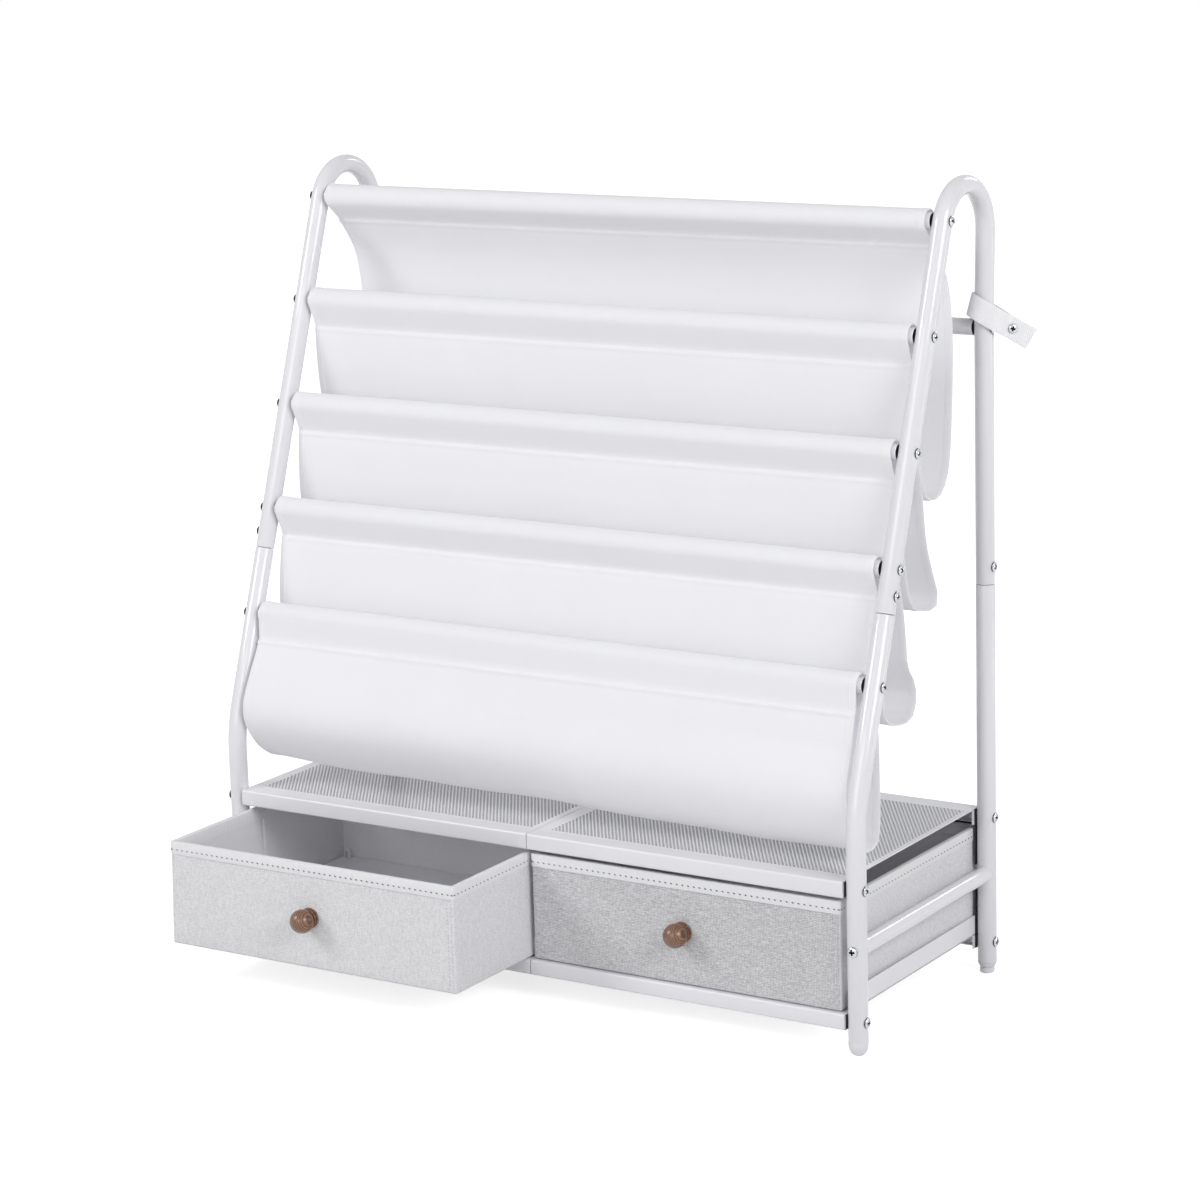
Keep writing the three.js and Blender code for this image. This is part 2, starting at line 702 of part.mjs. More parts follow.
// One pocket: the cloth from the seam above it, down round its lobe and up to its front rod's seam
function pocketCloth(index) {
  const above = seamBelow(index);
  const front = seamBelow(index + 1);
  const layerOffset = (clothThickness + fitGap) / 2;
  const isFront = index === pocketShares.length - 1;
  const start = above.point.clone().addScaledVector(above.hang, -seamOverlap);
  const end = front.point.clone().addScaledVector(front.hang, isFront ? -seamOverlap : fitGap);
  start.x -= index > 0 ? layerOffset : 0;
  end.x += index < rodCount - 2 ? layerOffset : 0;
  const lobe = pocketShares[index].map(([back, down]) => new THREE.Vector2(
    front.rod.x + back * pocketReach, front.rod.y - down * pocketDrop,
  ));
  const curve = new THREE.SplineCurve([start, ...lobe, end]);
  return ribbonShape(curve.getSpacedPoints(clothSteps), clothThickness);
}

// The front pocket's belly hangs flatter and deeper towards its right end
function eased(geometry) {
  const axisY = slantPoint(0, lowestRodHeight).y;
  const places = geometry.attributes.position;
  for (let i = 0; i < places.count; i += 1) {
    const along = places.getX(i) / clothWidth + 0.5;
    const forward = axisY - places.getY(i);
    const below = lowestRodHeight - places.getZ(i);
    if (forward > 0 && below > 0) {
      places.setY(i, axisY - forward * (1 - bellyEaseShare * along));
    }
    if (below > 0) {
      places.setZ(i, lowestRodHeight - below * (1 - bellyLiftShare * (1 - along)));
    }
  }
  return geometry;
}

// A rounded rectangle centred on the drawer's middle, reduced all round by an inset
function drawerOutline(inset) {
  const [halfX, halfY] = [drawerWidth / 2 - inset, drawerDepth / 2 - inset];
  const radius = Math.max(drawerCorner - inset, fitGap);
  const shape = new THREE.Shape();
  shape.moveTo(-halfX + radius, -halfY);
  shape.lineTo(halfX - radius, -halfY);
  shape.absarc(halfX - radius, -halfY + radius, radius, -Math.PI / 2, 0, false);
  shape.lineTo(halfX, halfY - radius);
  shape.absarc(halfX - radius, halfY - radius, radius, 0, Math.PI / 2, false);
  shape.lineTo(-halfX + radius, halfY);
  shape.absarc(-halfX + radius, halfY - radius, radius, Math.PI / 2, Math.PI, false);
  shape.lineTo(-halfX, -halfY + radius);
  shape.absarc(-halfX + radius, -halfY + radius, radius, Math.PI, 1.5 * Math.PI, false);
  return shape;
}

// The drawer's outline as an upright block between two heights
function drawerBlock(inset, low, high) {
  const body = new THREE.ExtrudeGeometry(drawerOutline(inset), {
    depth: high - low,
    bevelEnabled: false,
    curveSegments: drawerCornerSteps,
  });
  return body.translate(0, 0, low);
}

const wallTop = drawerTopHeight - bindingThickness - fitGap;
const liningInset = shellThickness + fitGap;
const insideInset = liningInset + liningThickness;
const shellFloor = floorOfDrawer + shellThickness;
const liningFloor = shellFloor + fitGap;
const insideFloor = liningFloor + liningThickness;
const wallLow = -drawerDepth / 2;

// A hole through the drawer's front wall for the knob's screw
function knobHole() {
  const start = new THREE.Vector3(0, wallLow - cutOverrun, knobHeight);
  const end = new THREE.Vector3(0, wallLow + insideInset + cutOverrun, knobHeight);
  return barBetween(start, end, knobScrewDiameter / 2 + fitGap, holeSides);
}

// An open fabric box between two insets
function fabricBox(outerInset, thickness, bottom, top) {
  const hollow = drawerBlock(outerInset + thickness, bottom + thickness, top + cutOverrun);
  return drilled(drawerBlock(outerInset, bottom, top), [hollow, knobHole()]);
}

// The binding folded over the rim, inside and out
function rimBinding() {
  const low = drawerTopHeight - bindingHeight;
  const body = drawerBlock(-rimOutset, low, drawerTopHeight);
  const opening = drawerBlock(insideInset + rimOutset, low - cutOverrun, drawerTopHeight + cutOverrun);
  const groove = drilled(drawerBlock(-fitGap, low - cutOverrun, drawerTopHeight - bindingThickness), [
    drawerBlock(insideInset + fitGap, low - 2 * cutOverrun, drawerTopHeight),
  ]);
  return drilled(body, [opening, groove]);
}

const baseBoardFloor = insideFloor + fitGap;
const baseBoardTop = baseBoardFloor + baseBoardThickness;

// The loose base board with a small pull sewn on near its rear left corner
function baseBoard() {
  const board = drawerBlock(insideInset + baseBoardClearance, baseBoardFloor, baseBoardTop);
  const x = -drawerWidth / 2 + insideInset + pullTabInset;
  const y = drawerDepth / 2 - insideInset - pullTabInset;
  const low = new THREE.Vector3(x, y, baseBoardTop - baseBoardThickness / 2);
  const high = new THREE.Vector3(x + pullTabWidth, y + pullTabThickness, baseBoardTop + pullTabHeight);
  return joined(board, [boxBetween(low, high)]);
}

// A turned wooden knob that points to the front, bored for its screw
function knob() {
  const ballRadius = knobBallDiameter / 2;
  const base = knobBaseShares.map(([wide, along]) => [wide * knobBaseDiameter / 2, along * knobLength]);
  const ball = [];
  for (let i = 0; i <= knobBallSteps; i += 1) {
    const angle = Math.PI * knobBallStartShare * (1 - i / knobBallSteps);
    const along = knobLength - ballRadius + ballRadius * Math.cos(angle);
    ball.push([i < knobBallSteps ? ballRadius * Math.sin(angle) : 0, along]);
  }
  const bore = roundBar(knobScrewDiameter / 2 + fitGap, knobScrewDepth + cutOverrun + fitGap, holeSides);
  const solid = drilled(turned([[0, 0], ...base, ...ball], knobSides), [bore.translate(0, 0, -cutOverrun)]);
  return pointed(solid, new THREE.Vector3(0, -1, 0), new THREE.Vector3(0, wallLow - fitGap, knobHeight));
}

// The knob's collared screw, put in from inside the drawer
function knobScrew() {
  const seat = wallLow + insideInset + fitGap;
  const length = seat - wallLow + knobScrewDepth;
  const head = headShares.map(([wide, high]) => [wide * knobHeadDiameter / 2, collarThickness + high * knobHeadHeight]);
  const shank = knobScrewDiameter / 2;
  const collar = [[collarDiameter / 2, 0], [collarDiameter / 2, collarThickness]];
  const body = turned([[0, -length], [shank, -length], [shank, 0], ...collar, ...head], headSides);
  return pointed(body, new THREE.Vector3(0, 1, 0), new THREE.Vector3(0, seat, knobHeight));
}

// All pieces of one drawer, moved into its bay
function addDrawer(name, side, pull) {
  const move = (geometry) => geometry.translate(side * drawerX, closedFaceY - pull + drawerDepth / 2, 0);
  add(`${name}_shell`, move(fabricBox(0, shellThickness, floorOfDrawer, wallTop)), finish.linen);
  add(`${name}_lining`, move(fabricBox(liningInset, liningThickness, liningFloor, wallTop)), finish.lining);
  add(`${name}_rim_binding`, move(rimBinding()), finish.binding);
  add(`${name}_base_board`, move(baseBoard()), finish.baseCloth);
  add(`${name}_knob`, move(knob()), finish.beech);
  add(`${name}_knob_screw`, move(knobScrew()), finish.zinc);
}

// The strap's own directions: along its drooping tail, sideways, and across the webbing
const strapAlong = new THREE.Vector3(
  Math.cos(strapTurn) * Math.cos(strapDroop), Math.sin(strapTurn) * Math.cos(strapDroop), -Math.sin(strapDroop),
);
const strapSideways = new THREE.Vector3(-Math.sin(strapTurn), Math.cos(strapTurn), 0);
const strapAcross = new THREE.Vector3().crossVectors(strapAlong, strapSideways);

function strapPlace(geometry) {
  const turn = new THREE.Matrix4().makeBasis(strapAlong, strapSideways, strapAcross);
  return geometry.applyMatrix4(turn).translate(legX, frameDepth, rearRodHeight + strapRise);
}

// The loop's outline at one side of its webbing: round behind the leg, then both layers drawn together
function loopOutline(outset, tailSide) {
  const radius = loopHalfWidth + outset;
  const shape = new THREE.Shape();
  shape.moveTo(tailEnd, -tailSide);
  shape.lineTo(tailEnd, tailSide);
  shape.lineTo(tailStart, tailSide);
  shape.lineTo(loopStraight, radius);
  shape.lineTo(-loopBack, radius);
  shape.absarc(-loopBack, 0, radius, Math.PI / 2, 1.5 * Math.PI, false);
  shape.lineTo(loopStraight, -radius);
  shape.lineTo(tailStart, -tailSide);
  return shape;
}

// Turns the webbing's edges towards upright round the leg, and leaves them square at the tail's end
function leant(geometry) {
  const places = geometry.attributes.position;
  for (let i = 0; i < places.count; i += 1) {
    const share = THREE.MathUtils.clamp((tailEnd - places.getX(i)) / (tailEnd - tailStart), 0, 1);
    places.setX(i, places.getX(i) - places.getZ(i) * Math.tan(strapDroop) * uprightShare * share);
  }
  return geometry;
}

function webbingStrap() {
  const tailSide = webbingThickness + fitGap / 2;
  const options = { depth: webbingWidth, bevelEnabled: false, curveSegments: strapLoopSteps };
  const body = new THREE.ExtrudeGeometry(loopOutline(webbingThickness, tailSide), options);
  const hollowShape = new THREE.Shape();
  hollowShape.moveTo(tailStart, 0);
  hollowShape.lineTo(loopStraight, loopHalfWidth);
  hollowShape.lineTo(-loopBack, loopHalfWidth);
  hollowShape.absarc(-loopBack, 0, loopHalfWidth, Math.PI / 2, 1.5 * Math.PI, false);
  hollowShape.lineTo(loopStraight, -loopHalfWidth);
  const hollow = new THREE.ExtrudeGeometry(hollowShape, { ...options, depth: webbingWidth + 2 * cutOverrun });
  body.translate(0, 0, -webbingWidth / 2);
  hollow.translate(0, 0, -webbingWidth / 2 - cutOverrun);
  const holeStart = new THREE.Vector3(strapScrewPlace, -tailSide - cutOverrun, 0);
  const holeEnd = new THREE.Vector3(strapScrewPlace, tailSide + cutOverrun, 0);
  const hole = barBetween(holeStart, holeEnd, strapScrewDiameter / 2 + fitGap, holeSides);
  return strapPlace(drilled(leant(body), [leant(hollow), hole]));
}

function strapScrew() {
  const head = headShares.map(([wide, high]) => [wide * strapHeadDiameter / 2, high * strapHeadHeight]);
  const shank = strapScrewDiameter / 2;
  const profile = [[0, -strapScrewLength], [shank, -strapScrewLength + shank], [shank, 0], ...head];
  const seat = new THREE.Vector3(strapScrewPlace, -webbingThickness - 1.5 * fitGap, 0);
  return strapPlace(pointed(turned(profile, headSides), new THREE.Vector3(0, -1, 0), seat));
}

// Steel side frames
for (const [name, side] of [['left', -1], ['right', 1]]) {
  add(`hairpin_tube_${name}`, hairpinTube(side), finish.paint);
  add(`front_leg_${name}`, frontLeg(side), finish.paint);
  add(`rear_leg_${name}`, rearLeg(side), finish.paint);
  add(`side_rail_${name}`, sideRail(side), finish.paint);
  add(`deck_panel_${name}`, deckPanel(side), finish.sheetPaint);
  add(`tray_panel_${name}`, trayPanel(side), finish.sheetPaint);
  add(`front_foot_${name}`, frontFoot().translate(side * legX, 0, 0), finish.plastic);
  add(`rear_foot_${name}`, rearFoot().translate(side * legX, frameDepth, 0), finish.plastic);
}
// Rods
rodHeights.forEach((height, i) => add(`sling_rod_${i + 1}`, crossRod(slantPoint(0, height)), finish.paint));
add('rear_rod', crossRod(rearRodPlace), finish.paint);

// Screws
const rodScrewLength = throughLeg + screwBite;
const jointScrewLength = legWall + neckWall + jointScrewReach;
const rearJointScrew = new THREE.Vector3(0, frameDepth, rearJointScrewHeight);
rodHeights.forEach((height, i) => addScrewPair(`rod_screw_${i + 1}`, slantPoint(0, height), rodScrewLength));
addScrewPair('rear_rod_screw', rearRodPlace, rodScrewLength);
addScrewPair('front_joint_screw', frontJointScrew, jointScrewLength);
addScrewPair('rear_joint_screw', rearJointScrew, jointScrewLength);
addScrewPair('front_deck_screw', new THREE.Vector3(0, 0, panelScrewHeights[0]), throughLeg + bushLength);
addScrewPair('rear_deck_screw', new THREE.Vector3(0, frameDepth, panelScrewHeights[0]), throughLeg + bushLength);

// Cloth: one sewn sheet, parted below the casings into its pockets
const clothHalf = clothWidth / 2;
pocketShares.forEach((shares, i) => {
  const isFront = i === pocketShares.length - 1;
  const cloth = acrossX(pocketCloth(i), -clothHalf, clothHalf, isFront ? easedSteps : 1);
  const casings = [acrossX(clothCasing(i), -clothHalf, clothHalf)];
  if (isFront) {
    casings.push(acrossX(clothCasing(i + 1), -clothHalf, clothHalf));
  }
  add(`sling_pocket_${i + 1}`, joined(isFront ? eased(cloth) : cloth, casings), finish.canvas);
});

// Drawers: the left one stands open, the right one is closed
addDrawer('drawer_left', -1, drawerPull);
addDrawer('drawer_right', 1, 0);

// Strap
add('webbing_strap', webbingStrap(), finish.webbing);
add('strap_screw', strapScrew(), finish.zinc);

// The origin is the centre of the base
shelf.updateMatrixWorld(true);
const extent = new THREE.Box3().setFromObject(shelf);
const middle = extent.getCenter(new THREE.Vector3());
shelf.position.set(-middle.x, -middle.y, -extent.min.z);

export default shelf;
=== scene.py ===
# %% [markdown]
# # A sling bookshelf in white steel, canvas and linen
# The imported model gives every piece's place and size. This file dresses it: the faceted tubes, sheets and
# cloth solids are stood for by finer ones, each with the surface of its real material. All measures below
# are millimetres from the middle of the two front feet, which is easy to check with a ruler.

# %% Load the frame
import math
import bmesh
import bpy
import numpy as np
from mathutils import Matrix, Vector


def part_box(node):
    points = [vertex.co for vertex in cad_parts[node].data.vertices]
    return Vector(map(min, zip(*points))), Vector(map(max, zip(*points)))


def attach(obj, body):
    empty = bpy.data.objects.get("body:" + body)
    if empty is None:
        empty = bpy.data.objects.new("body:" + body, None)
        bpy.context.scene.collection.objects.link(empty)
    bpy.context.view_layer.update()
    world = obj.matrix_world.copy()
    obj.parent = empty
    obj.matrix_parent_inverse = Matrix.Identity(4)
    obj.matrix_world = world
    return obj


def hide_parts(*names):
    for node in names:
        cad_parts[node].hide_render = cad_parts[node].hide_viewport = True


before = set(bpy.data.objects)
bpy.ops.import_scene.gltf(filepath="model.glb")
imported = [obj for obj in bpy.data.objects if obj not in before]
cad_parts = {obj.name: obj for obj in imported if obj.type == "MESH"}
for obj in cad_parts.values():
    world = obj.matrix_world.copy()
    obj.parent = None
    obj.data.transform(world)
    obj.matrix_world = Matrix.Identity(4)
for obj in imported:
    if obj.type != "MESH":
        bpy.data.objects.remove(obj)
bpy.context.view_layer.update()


def middle_of(node):
    low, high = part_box(node)
    return np.array((low + high) / 2)


left_foot, right_foot = middle_of("front_foot_left"), middle_of("front_foot_right")
ORIGIN = np.array([(left_foot[0] + right_foot[0]) / 2, (left_foot[1] + right_foot[1]) / 2, 0.0])
MM = 0.001


def to_row(points):
    """Millimetres from the middle of the front feet, as metres in the model's frame."""
    return np.asarray(points, float) * MM + ORIGIN


# %% [markdown]
# ## Making meshes
# A piece is a list of points and a list of faces. One function turns them into an object, welds doubled
# points, turns the faces outward, smooths what is round and keeps what is sharp. It also hangs the piece on
# the empty of its body and hides the CAD nodes it stands for. It prints each piece.

# %% One function for every piece
SURFACE_MAP = "surface"
WELD = 1e-6
made = {}


def face_lists(faces, first=0):
    """Faces as plain lists, from an array or from lists, with their points counted on from a first one."""
    if isinstance(faces, np.ndarray):
        return (faces + first).tolist()
    return [[i + first for i in face] for face in faces]


def in_scene(name, data):
    """An object in the scene, made of a mesh, a lamp's data or a camera's."""
    thing = bpy.data.objects.new(name, data)
    bpy.context.scene.collection.objects.link(thing)
    return thing


def new_piece(name, points, faces, body, material, slot, stands_for=(), sharp=35, flat_map=None, weld=True):
    mesh = bpy.data.meshes.new(name)
    mesh.from_pydata(to_row(points).tolist(), [], face_lists(faces))
    if flat_map is not None:
        layer = mesh.uv_layers.new(name=SURFACE_MAP)
        corners = np.empty(len(mesh.loops), np.int32)
        mesh.loops.foreach_get("vertex_index", corners)
        layer.data.foreach_set("uv", np.asarray(flat_map, float)[corners].ravel())
    if weld:
        shape = bmesh.new()
        shape.from_mesh(mesh)
        bmesh.ops.remove_doubles(shape, verts=shape.verts, dist=WELD)
        bmesh.ops.recalc_face_normals(shape, faces=shape.faces)
        shape.to_mesh(mesh)
        shape.free()
    mesh.shade_smooth()
    mesh.set_sharp_from_angle(angle=math.radians(sharp))
    mesh.materials.append(material)
    piece = in_scene(name, mesh)
    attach(piece, body)
    if stands_for:
        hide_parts(*stands_for)
    made[name] = len(mesh.polygons)
    print(f"  {name} on {body}: {made[name]} faces of {material.name}")
    return piece


# %% Grids, closed sheets and bars
def grid_faces(rows, columns, close_rows=False, close_columns=False):
    """Four-cornered faces between neighbouring rows and columns of points."""
    r = np.arange(rows if close_rows else rows - 1)
    c = np.arange(columns if close_columns else columns - 1)
    r, c = np.meshgrid(r, c, indexing="ij")
    r2, c2 = (r + 1) % rows, (c + 1) % columns
    quads = np.stack([r * columns + c, r * columns + c2, r2 * columns + c2, r2 * columns + c], -1)
    return quads.reshape(-1, 4)


def merged(parts):
    """Several (points, faces) pairs as one."""
    points, faces, count = [], [], 0
    for part_points, part_faces in parts:
        points.append(np.asarray(part_points, float).reshape(-1, 3))
        faces += face_lists(part_faces, count)
        count += len(points[-1])
    return np.concatenate(points), faces


def two_faced(front, back):
    """A closed sheet from its two faces, each a grid of points."""
    rows, columns = front.shape[:2]
    count = rows * columns
    faces = grid_faces(rows, columns)
    edges = [(i * columns + j, (i + 1) * columns + j) for j in (0, columns - 1) for i in range(rows - 1)]
    edges += [(i * columns + j, i * columns + j + 1) for i in (0, rows - 1) for j in range(columns - 1)]
    rim = [[a, b, count + b, count + a] for a, b in edges]
    points = np.concatenate([front, back]).reshape(-1, 3)
    return points, faces.tolist() + (faces[:, ::-1] + count).tolist() + rim


def both_faces_map(first, second):
    """The flat map of such a sheet, in metres: the same lengths along and across for both faces."""
    flat = np.stack(np.broadcast_arrays(first, second), -1).reshape(-1, 2) * MM
    return np.concatenate([flat, flat])


def box_part(low, high):
    """The eight corners and six sides of a thin bar or strip that is part of a larger piece."""
    (x0, y0, z0), (x1, y1, z1) = low, high
    points = [(x, y, z) for x in (x0, x1) for y in (y0, y1) for z in (z0, z1)]
    faces = [[0, 1, 3, 2], [4, 6, 7, 5], [0, 4, 5, 1], [2, 3, 7, 6], [0, 2, 6, 4], [1, 5, 7, 3]]
    return np.array(points, float), faces


# %% Directions, lengths and places in between
def unit(v):
    """A direction, or each of many, at length one."""
    v = np.asarray(v, float)
    return v / np.linalg.norm(v, axis=-1, keepdims=True)


def normals_of(line):
    """The direction to the left of a flat line at each of its points."""
    run = unit(np.gradient(line, axis=0))
    return np.stack([-run[:, 1], run[:, 0]], -1)


def at_height(flat, height):
    """Points of two coordinates, with the same third one for all."""
    return np.column_stack([flat, np.full(len(flat), height)])


def lengths_along(points):
    """How far along a line each of its points lies."""
    return np.concatenate([[0], np.cumsum(np.linalg.norm(np.diff(points, axis=0), axis=1))])


def between(at, known, values):
    """Rows of values read off between the places where they are known."""
    return np.column_stack([np.interp(at, known, column) for column in values.T])


# %% [markdown]
# ## Colours and nodes
# Colours are written as sRGB hex, as a paint card gives them. Blender works with linear light, so one
# function converts them. Another adds a node with its settings and links, which is all that a node tree
# needs. Most surfaces end alike, with a tone between two colours and a fine relief. Plain moulded things
# and threads differ in colour and grain alone, so they share one material function.

# %% Hex to linear, and one function for nodes
PLASTIC_IOR = 1.5


def linear(hex_colour):
    channels = [int(hex_colour[i:i + 2], 16) / 255 for i in (1, 3, 5)]
    return tuple(c / 12.92 if c <= 0.04045 else ((c + 0.055) / 1.055) ** 2.4 for c in channels) + (1.0,)


def add_node(tree, kind, links=None, feeds=None, out=0, **settings):
    """A node with its settings and links.

    links gives each input, by name or number, the output, node or value that feeds it.
    feeds is an input that the node's own output, number out, goes to.
    """
    made_node = tree.nodes.new("ShaderNode" + kind)
    for key, value in settings.items():
        setattr(made_node, key, value)
    for key, source in (links or {}).items():
        if isinstance(source, bpy.types.Node):
            tree.links.new(source.outputs[0], made_node.inputs[key])
        elif isinstance(source, bpy.types.NodeSocket):
            tree.links.new(source, made_node.inputs[key])
        else:
            made_node.inputs[key].default_value = source
    if feeds is not None:
        tree.links.new(made_node.outputs[out], feeds)
    return made_node


# %% Materials
def new_material(name, colour, roughness, others=()):
    """A material with one Principled shader, whose plain values sit on the shader's own sockets."""
    material = bpy.data.materials.new(name)
    material.use_nodes = True
    tree = material.node_tree
    shader = tree.nodes["Principled BSDF"]
    plain = (("Base Color", linear(colour)), ("Roughness", roughness), ("IOR", PLASTIC_IOR))
    for socket, value in (*plain, *others):
        shader.inputs[socket].default_value = value
    material.diffuse_color = linear(colour)
    print("  material:", name)
    return material, tree, shader


def tone_and_relief(tree, shader, tone, colours, height, strength, depth_mm):
    """Ends a material: the tone goes from one colour to the other, and the height makes a relief."""
    dark, light = (linear(colour) for colour in colours)
    add_node(tree, "Mix", {0: tone, 6: dark, 7: light}, shader.inputs["Base Color"], 2, data_type="RGBA")
    return add_node(tree, "Bump", {"Height": height, "Strength": strength, "Distance": depth_mm * MM},
                    shader.inputs["Normal"])


def grained(name, colour, roughness, per_metre, strength, depth_mm):
    """A plain material with a fine even grain, so many grains to the metre and so deep."""
    material, tree, shader = new_material(name, colour, roughness)
    place = add_node(tree, "TexCoord").outputs["Object"]
    grain = add_node(tree, "TexNoise", {"Vector": place, "Scale": per_metre})
    add_node(tree, "Bump", {"Height": grain, "Strength": strength, "Distance": depth_mm * MM},
             shader.inputs["Normal"])
    return material


# %% [markdown]
# ## Powder-coated steel
# The tubes and sheets are mild steel with a white polyester powder coat, baked so that it flows nearly
# smooth. What the eye reads is a soft gloss with a faint orange peel, a few millimetres from crest to
# crest. The thin sheet scatters a little more than the tubes, because its coat is thinner.

# %% Powder coat
PEEL_MM = 2.2


def powder_coat(name, colour, shaded, roughness):
    material, tree, shader = new_material(name, colour, roughness)
    place = add_node(tree, "TexCoord").outputs["Object"]
    peel = add_node(tree, "TexNoise", {"Vector": place, "Scale": 1 / (PEEL_MM * MM), "Detail": 2.0})
    drift = add_node(tree, "TexNoise", {"Vector": place, "Scale": 9.0, "Detail": 3.0})
    tone_and_relief(tree, shader, drift, (shaded, colour), peel, 0.10, 0.05)
    return material


coated_tube = powder_coat("powder_coated_steel_tube", "#E3E3E7", "#DEDEE2", 0.15)
coated_sheet = powder_coat("powder_coated_sheet_steel", "#E5E4E9", "#E0DFE4", 0.26)
tube_look = ("frame", coated_tube, "painted_tube")
sheet_look = ("frame", coated_sheet, "painted_sheet")

# %% [markdown]
# ## Zinc-plated screws and moulded feet
# The screws are zinc on steel: a metal with a slightly cloudy reflection. Painted shade, near black, sits
# in the cross recess and in the narrow gap under the head, and a screw's map says where it goes. The feet
# are moulded polypropylene, dull and a touch warmer than the paint beside them.

# %% Zinc and polypropylene
zinc, tree, shader = new_material("zinc_plated_steel", "#8E9094", 0.24, [("Metallic", 1.0)])
place = add_node(tree, "TexCoord").outputs["Object"]
cloud = add_node(tree, "TexNoise", {"Vector": place, "Scale": 900.0})
plate = add_node(tree, "Mix", {0: cloud, 6: linear("#A4A6AA"), 7: linear("#D0D2D6")}, data_type="RGBA")
# The map's first value paints shade, near black, into the cross recess and the gap under the head.
mark = add_node(tree, "SeparateXYZ", {0: add_node(tree, "UVMap", uv_map=SURFACE_MAP)})
add_node(tree, "Mix", {0: mark, 6: plate.outputs[2], 7: linear("#1C1D20")},
         shader.inputs["Base Color"], 2, data_type="RGBA")
foot_plastic = grained("moulded_polypropylene", "#DCDCE1", 0.4, 1800.0, 0.15, 0.05)

# %% [markdown]
# ## Round bars, tubes and turned pieces
# A turned piece is a profile of radius and height, revolved. A bent tube is a ring carried along its centre
# line. The side frames lie in a plane, so the ring never twists if one of its directions stays across that
# plane.

# %% Turning and sweeping
TUBE_SIDES = 48


def turned(profile, sides=TUBE_SIDES):
    profile = np.asarray(profile, float)
    angles = np.linspace(0, 2 * math.pi, sides, endpoint=False)
    radius, height = profile[:, :1], profile[:, 1:]
    points = np.stack([radius * np.cos(angles), radius * np.sin(angles), height + 0 * angles], -1)
    return points.reshape(-1, 3), grid_faces(len(profile), sides, close_columns=True)


def aimed(points, direction, place):
    """Points made along +Z, turned to a direction and moved to a place."""
    turn = Vector((0, 0, 1)).rotation_difference(Vector(direction)).to_matrix()
    return np.asarray(points) @ np.array(turn).T + np.asarray(place, float)


def swept(line, runs, radii, across, sides=TUBE_SIDES):
    """A ring carried along a line, with its own radius at each station."""
    angles = np.linspace(0, 2 * math.pi, sides, endpoint=False)
    rings = []
    for point, run, radius in zip(line, runs, radii):
        run = unit(run)
        other = np.cross(run, across)
        rings.append(point + radius * (np.outer(np.cos(angles), across) + np.outer(np.sin(angles), other)))
    return np.concatenate(rings), grid_faces(len(rings), sides, close_columns=True)


# %% [markdown]
# ## The side frames
# Each side is one tube bent like a hairpin: up the slant in front, over the top and down behind. A lower
# front leg carries the slant on and bends upright, and a lower rear leg stands straight. Their ends are
# slightly rounded where they meet, so each joint shows as a fine dark line.

# %% Sizes of the side frames
SIDES = (("left", -1), ("right", 1))
LEG_X = 415.7
LEG_RADIUS = 11.0
FRAME_DEPTH = 312.77
SLANT = math.radians(19.36)
SLANT_START = 268.0
FRONT_JOINT, REAR_JOINT = 472.0, 457.5
HAIRPIN_RADIUS = 53.4
FLARE = math.radians(2.4)
REAR_ROD_HEIGHT = 747.1
FLARE_START = REAR_ROD_HEIGHT + 14
LOWER_BEND = 160.0
FRONT_FOOT, REAR_FOOT = 14.0, 13.0
HAIRLINE = 0.35
TUBE_END = [(0, 0), (0, LEG_RADIUS - 0.9), (0.25, LEG_RADIUS - 0.3), (0.9, LEG_RADIUS)]  # inset and radius
slant_run = np.array([0, math.sin(SLANT), math.cos(SLANT)])
down = np.array([0, 0, -1.0])


def on_slant(height):
    return np.array([0, (height - SLANT_START) * math.tan(SLANT), height])


def in_front(height):
    return np.array([0, 0, height])


def behind(height):
    return np.array([0, FRAME_DEPTH, height])


def arc(centre_y, centre_z, radius, start, end, steps):
    """Stations of a bend in the frame's plane, and the way the tube runs at each."""
    angles = np.linspace(start, end, steps)
    way = np.sign(end - start)
    points = [np.array([0, centre_y + radius * math.cos(a), centre_z + radius * math.sin(a)])
              for a in angles]
    return points, [np.array([0, -math.sin(a) * way, math.cos(a) * way]) for a in angles]


def bent_tube(points, runs, side):
    """A tube along stations, its two ends rounded and closed."""
    insets, end_radii = zip(*TUBE_END)
    start = [points[0] + inset * unit(runs[0]) for inset in insets]
    end = [points[-1] - inset * unit(runs[-1]) for inset in reversed(insets)]
    line = start + points[1:-1] + end
    ways = [runs[0]] * len(start) + runs[1:-1] + [runs[-1]] * len(end)
    radii = [*end_radii, *[LEG_RADIUS] * (len(points) - 2), *reversed(end_radii)]
    rings, faces = swept(line, ways, radii, np.array([1.0, 0, 0]))
    rings[:, 0] += side * LEG_X
    return rings, faces


# %% Bend the tubes
sine, cosine = math.sin(SLANT), math.cos(SLANT)
flare_sine, flare_cosine = math.sin(FLARE), math.cos(FLARE)
front_term = HAIRPIN_RADIUS - SLANT_START * sine
rear_term = HAIRPIN_RADIUS - FRAME_DEPTH * flare_cosine + FLARE_START * flare_sine
spread = cosine * flare_sine - flare_cosine * sine
top_y = (front_term * flare_sine + rear_term * sine) / spread
top_z = (cosine * rear_term + flare_cosine * front_term) / spread
bend_end = SLANT_START - LOWER_BEND * math.tan(SLANT / 2)

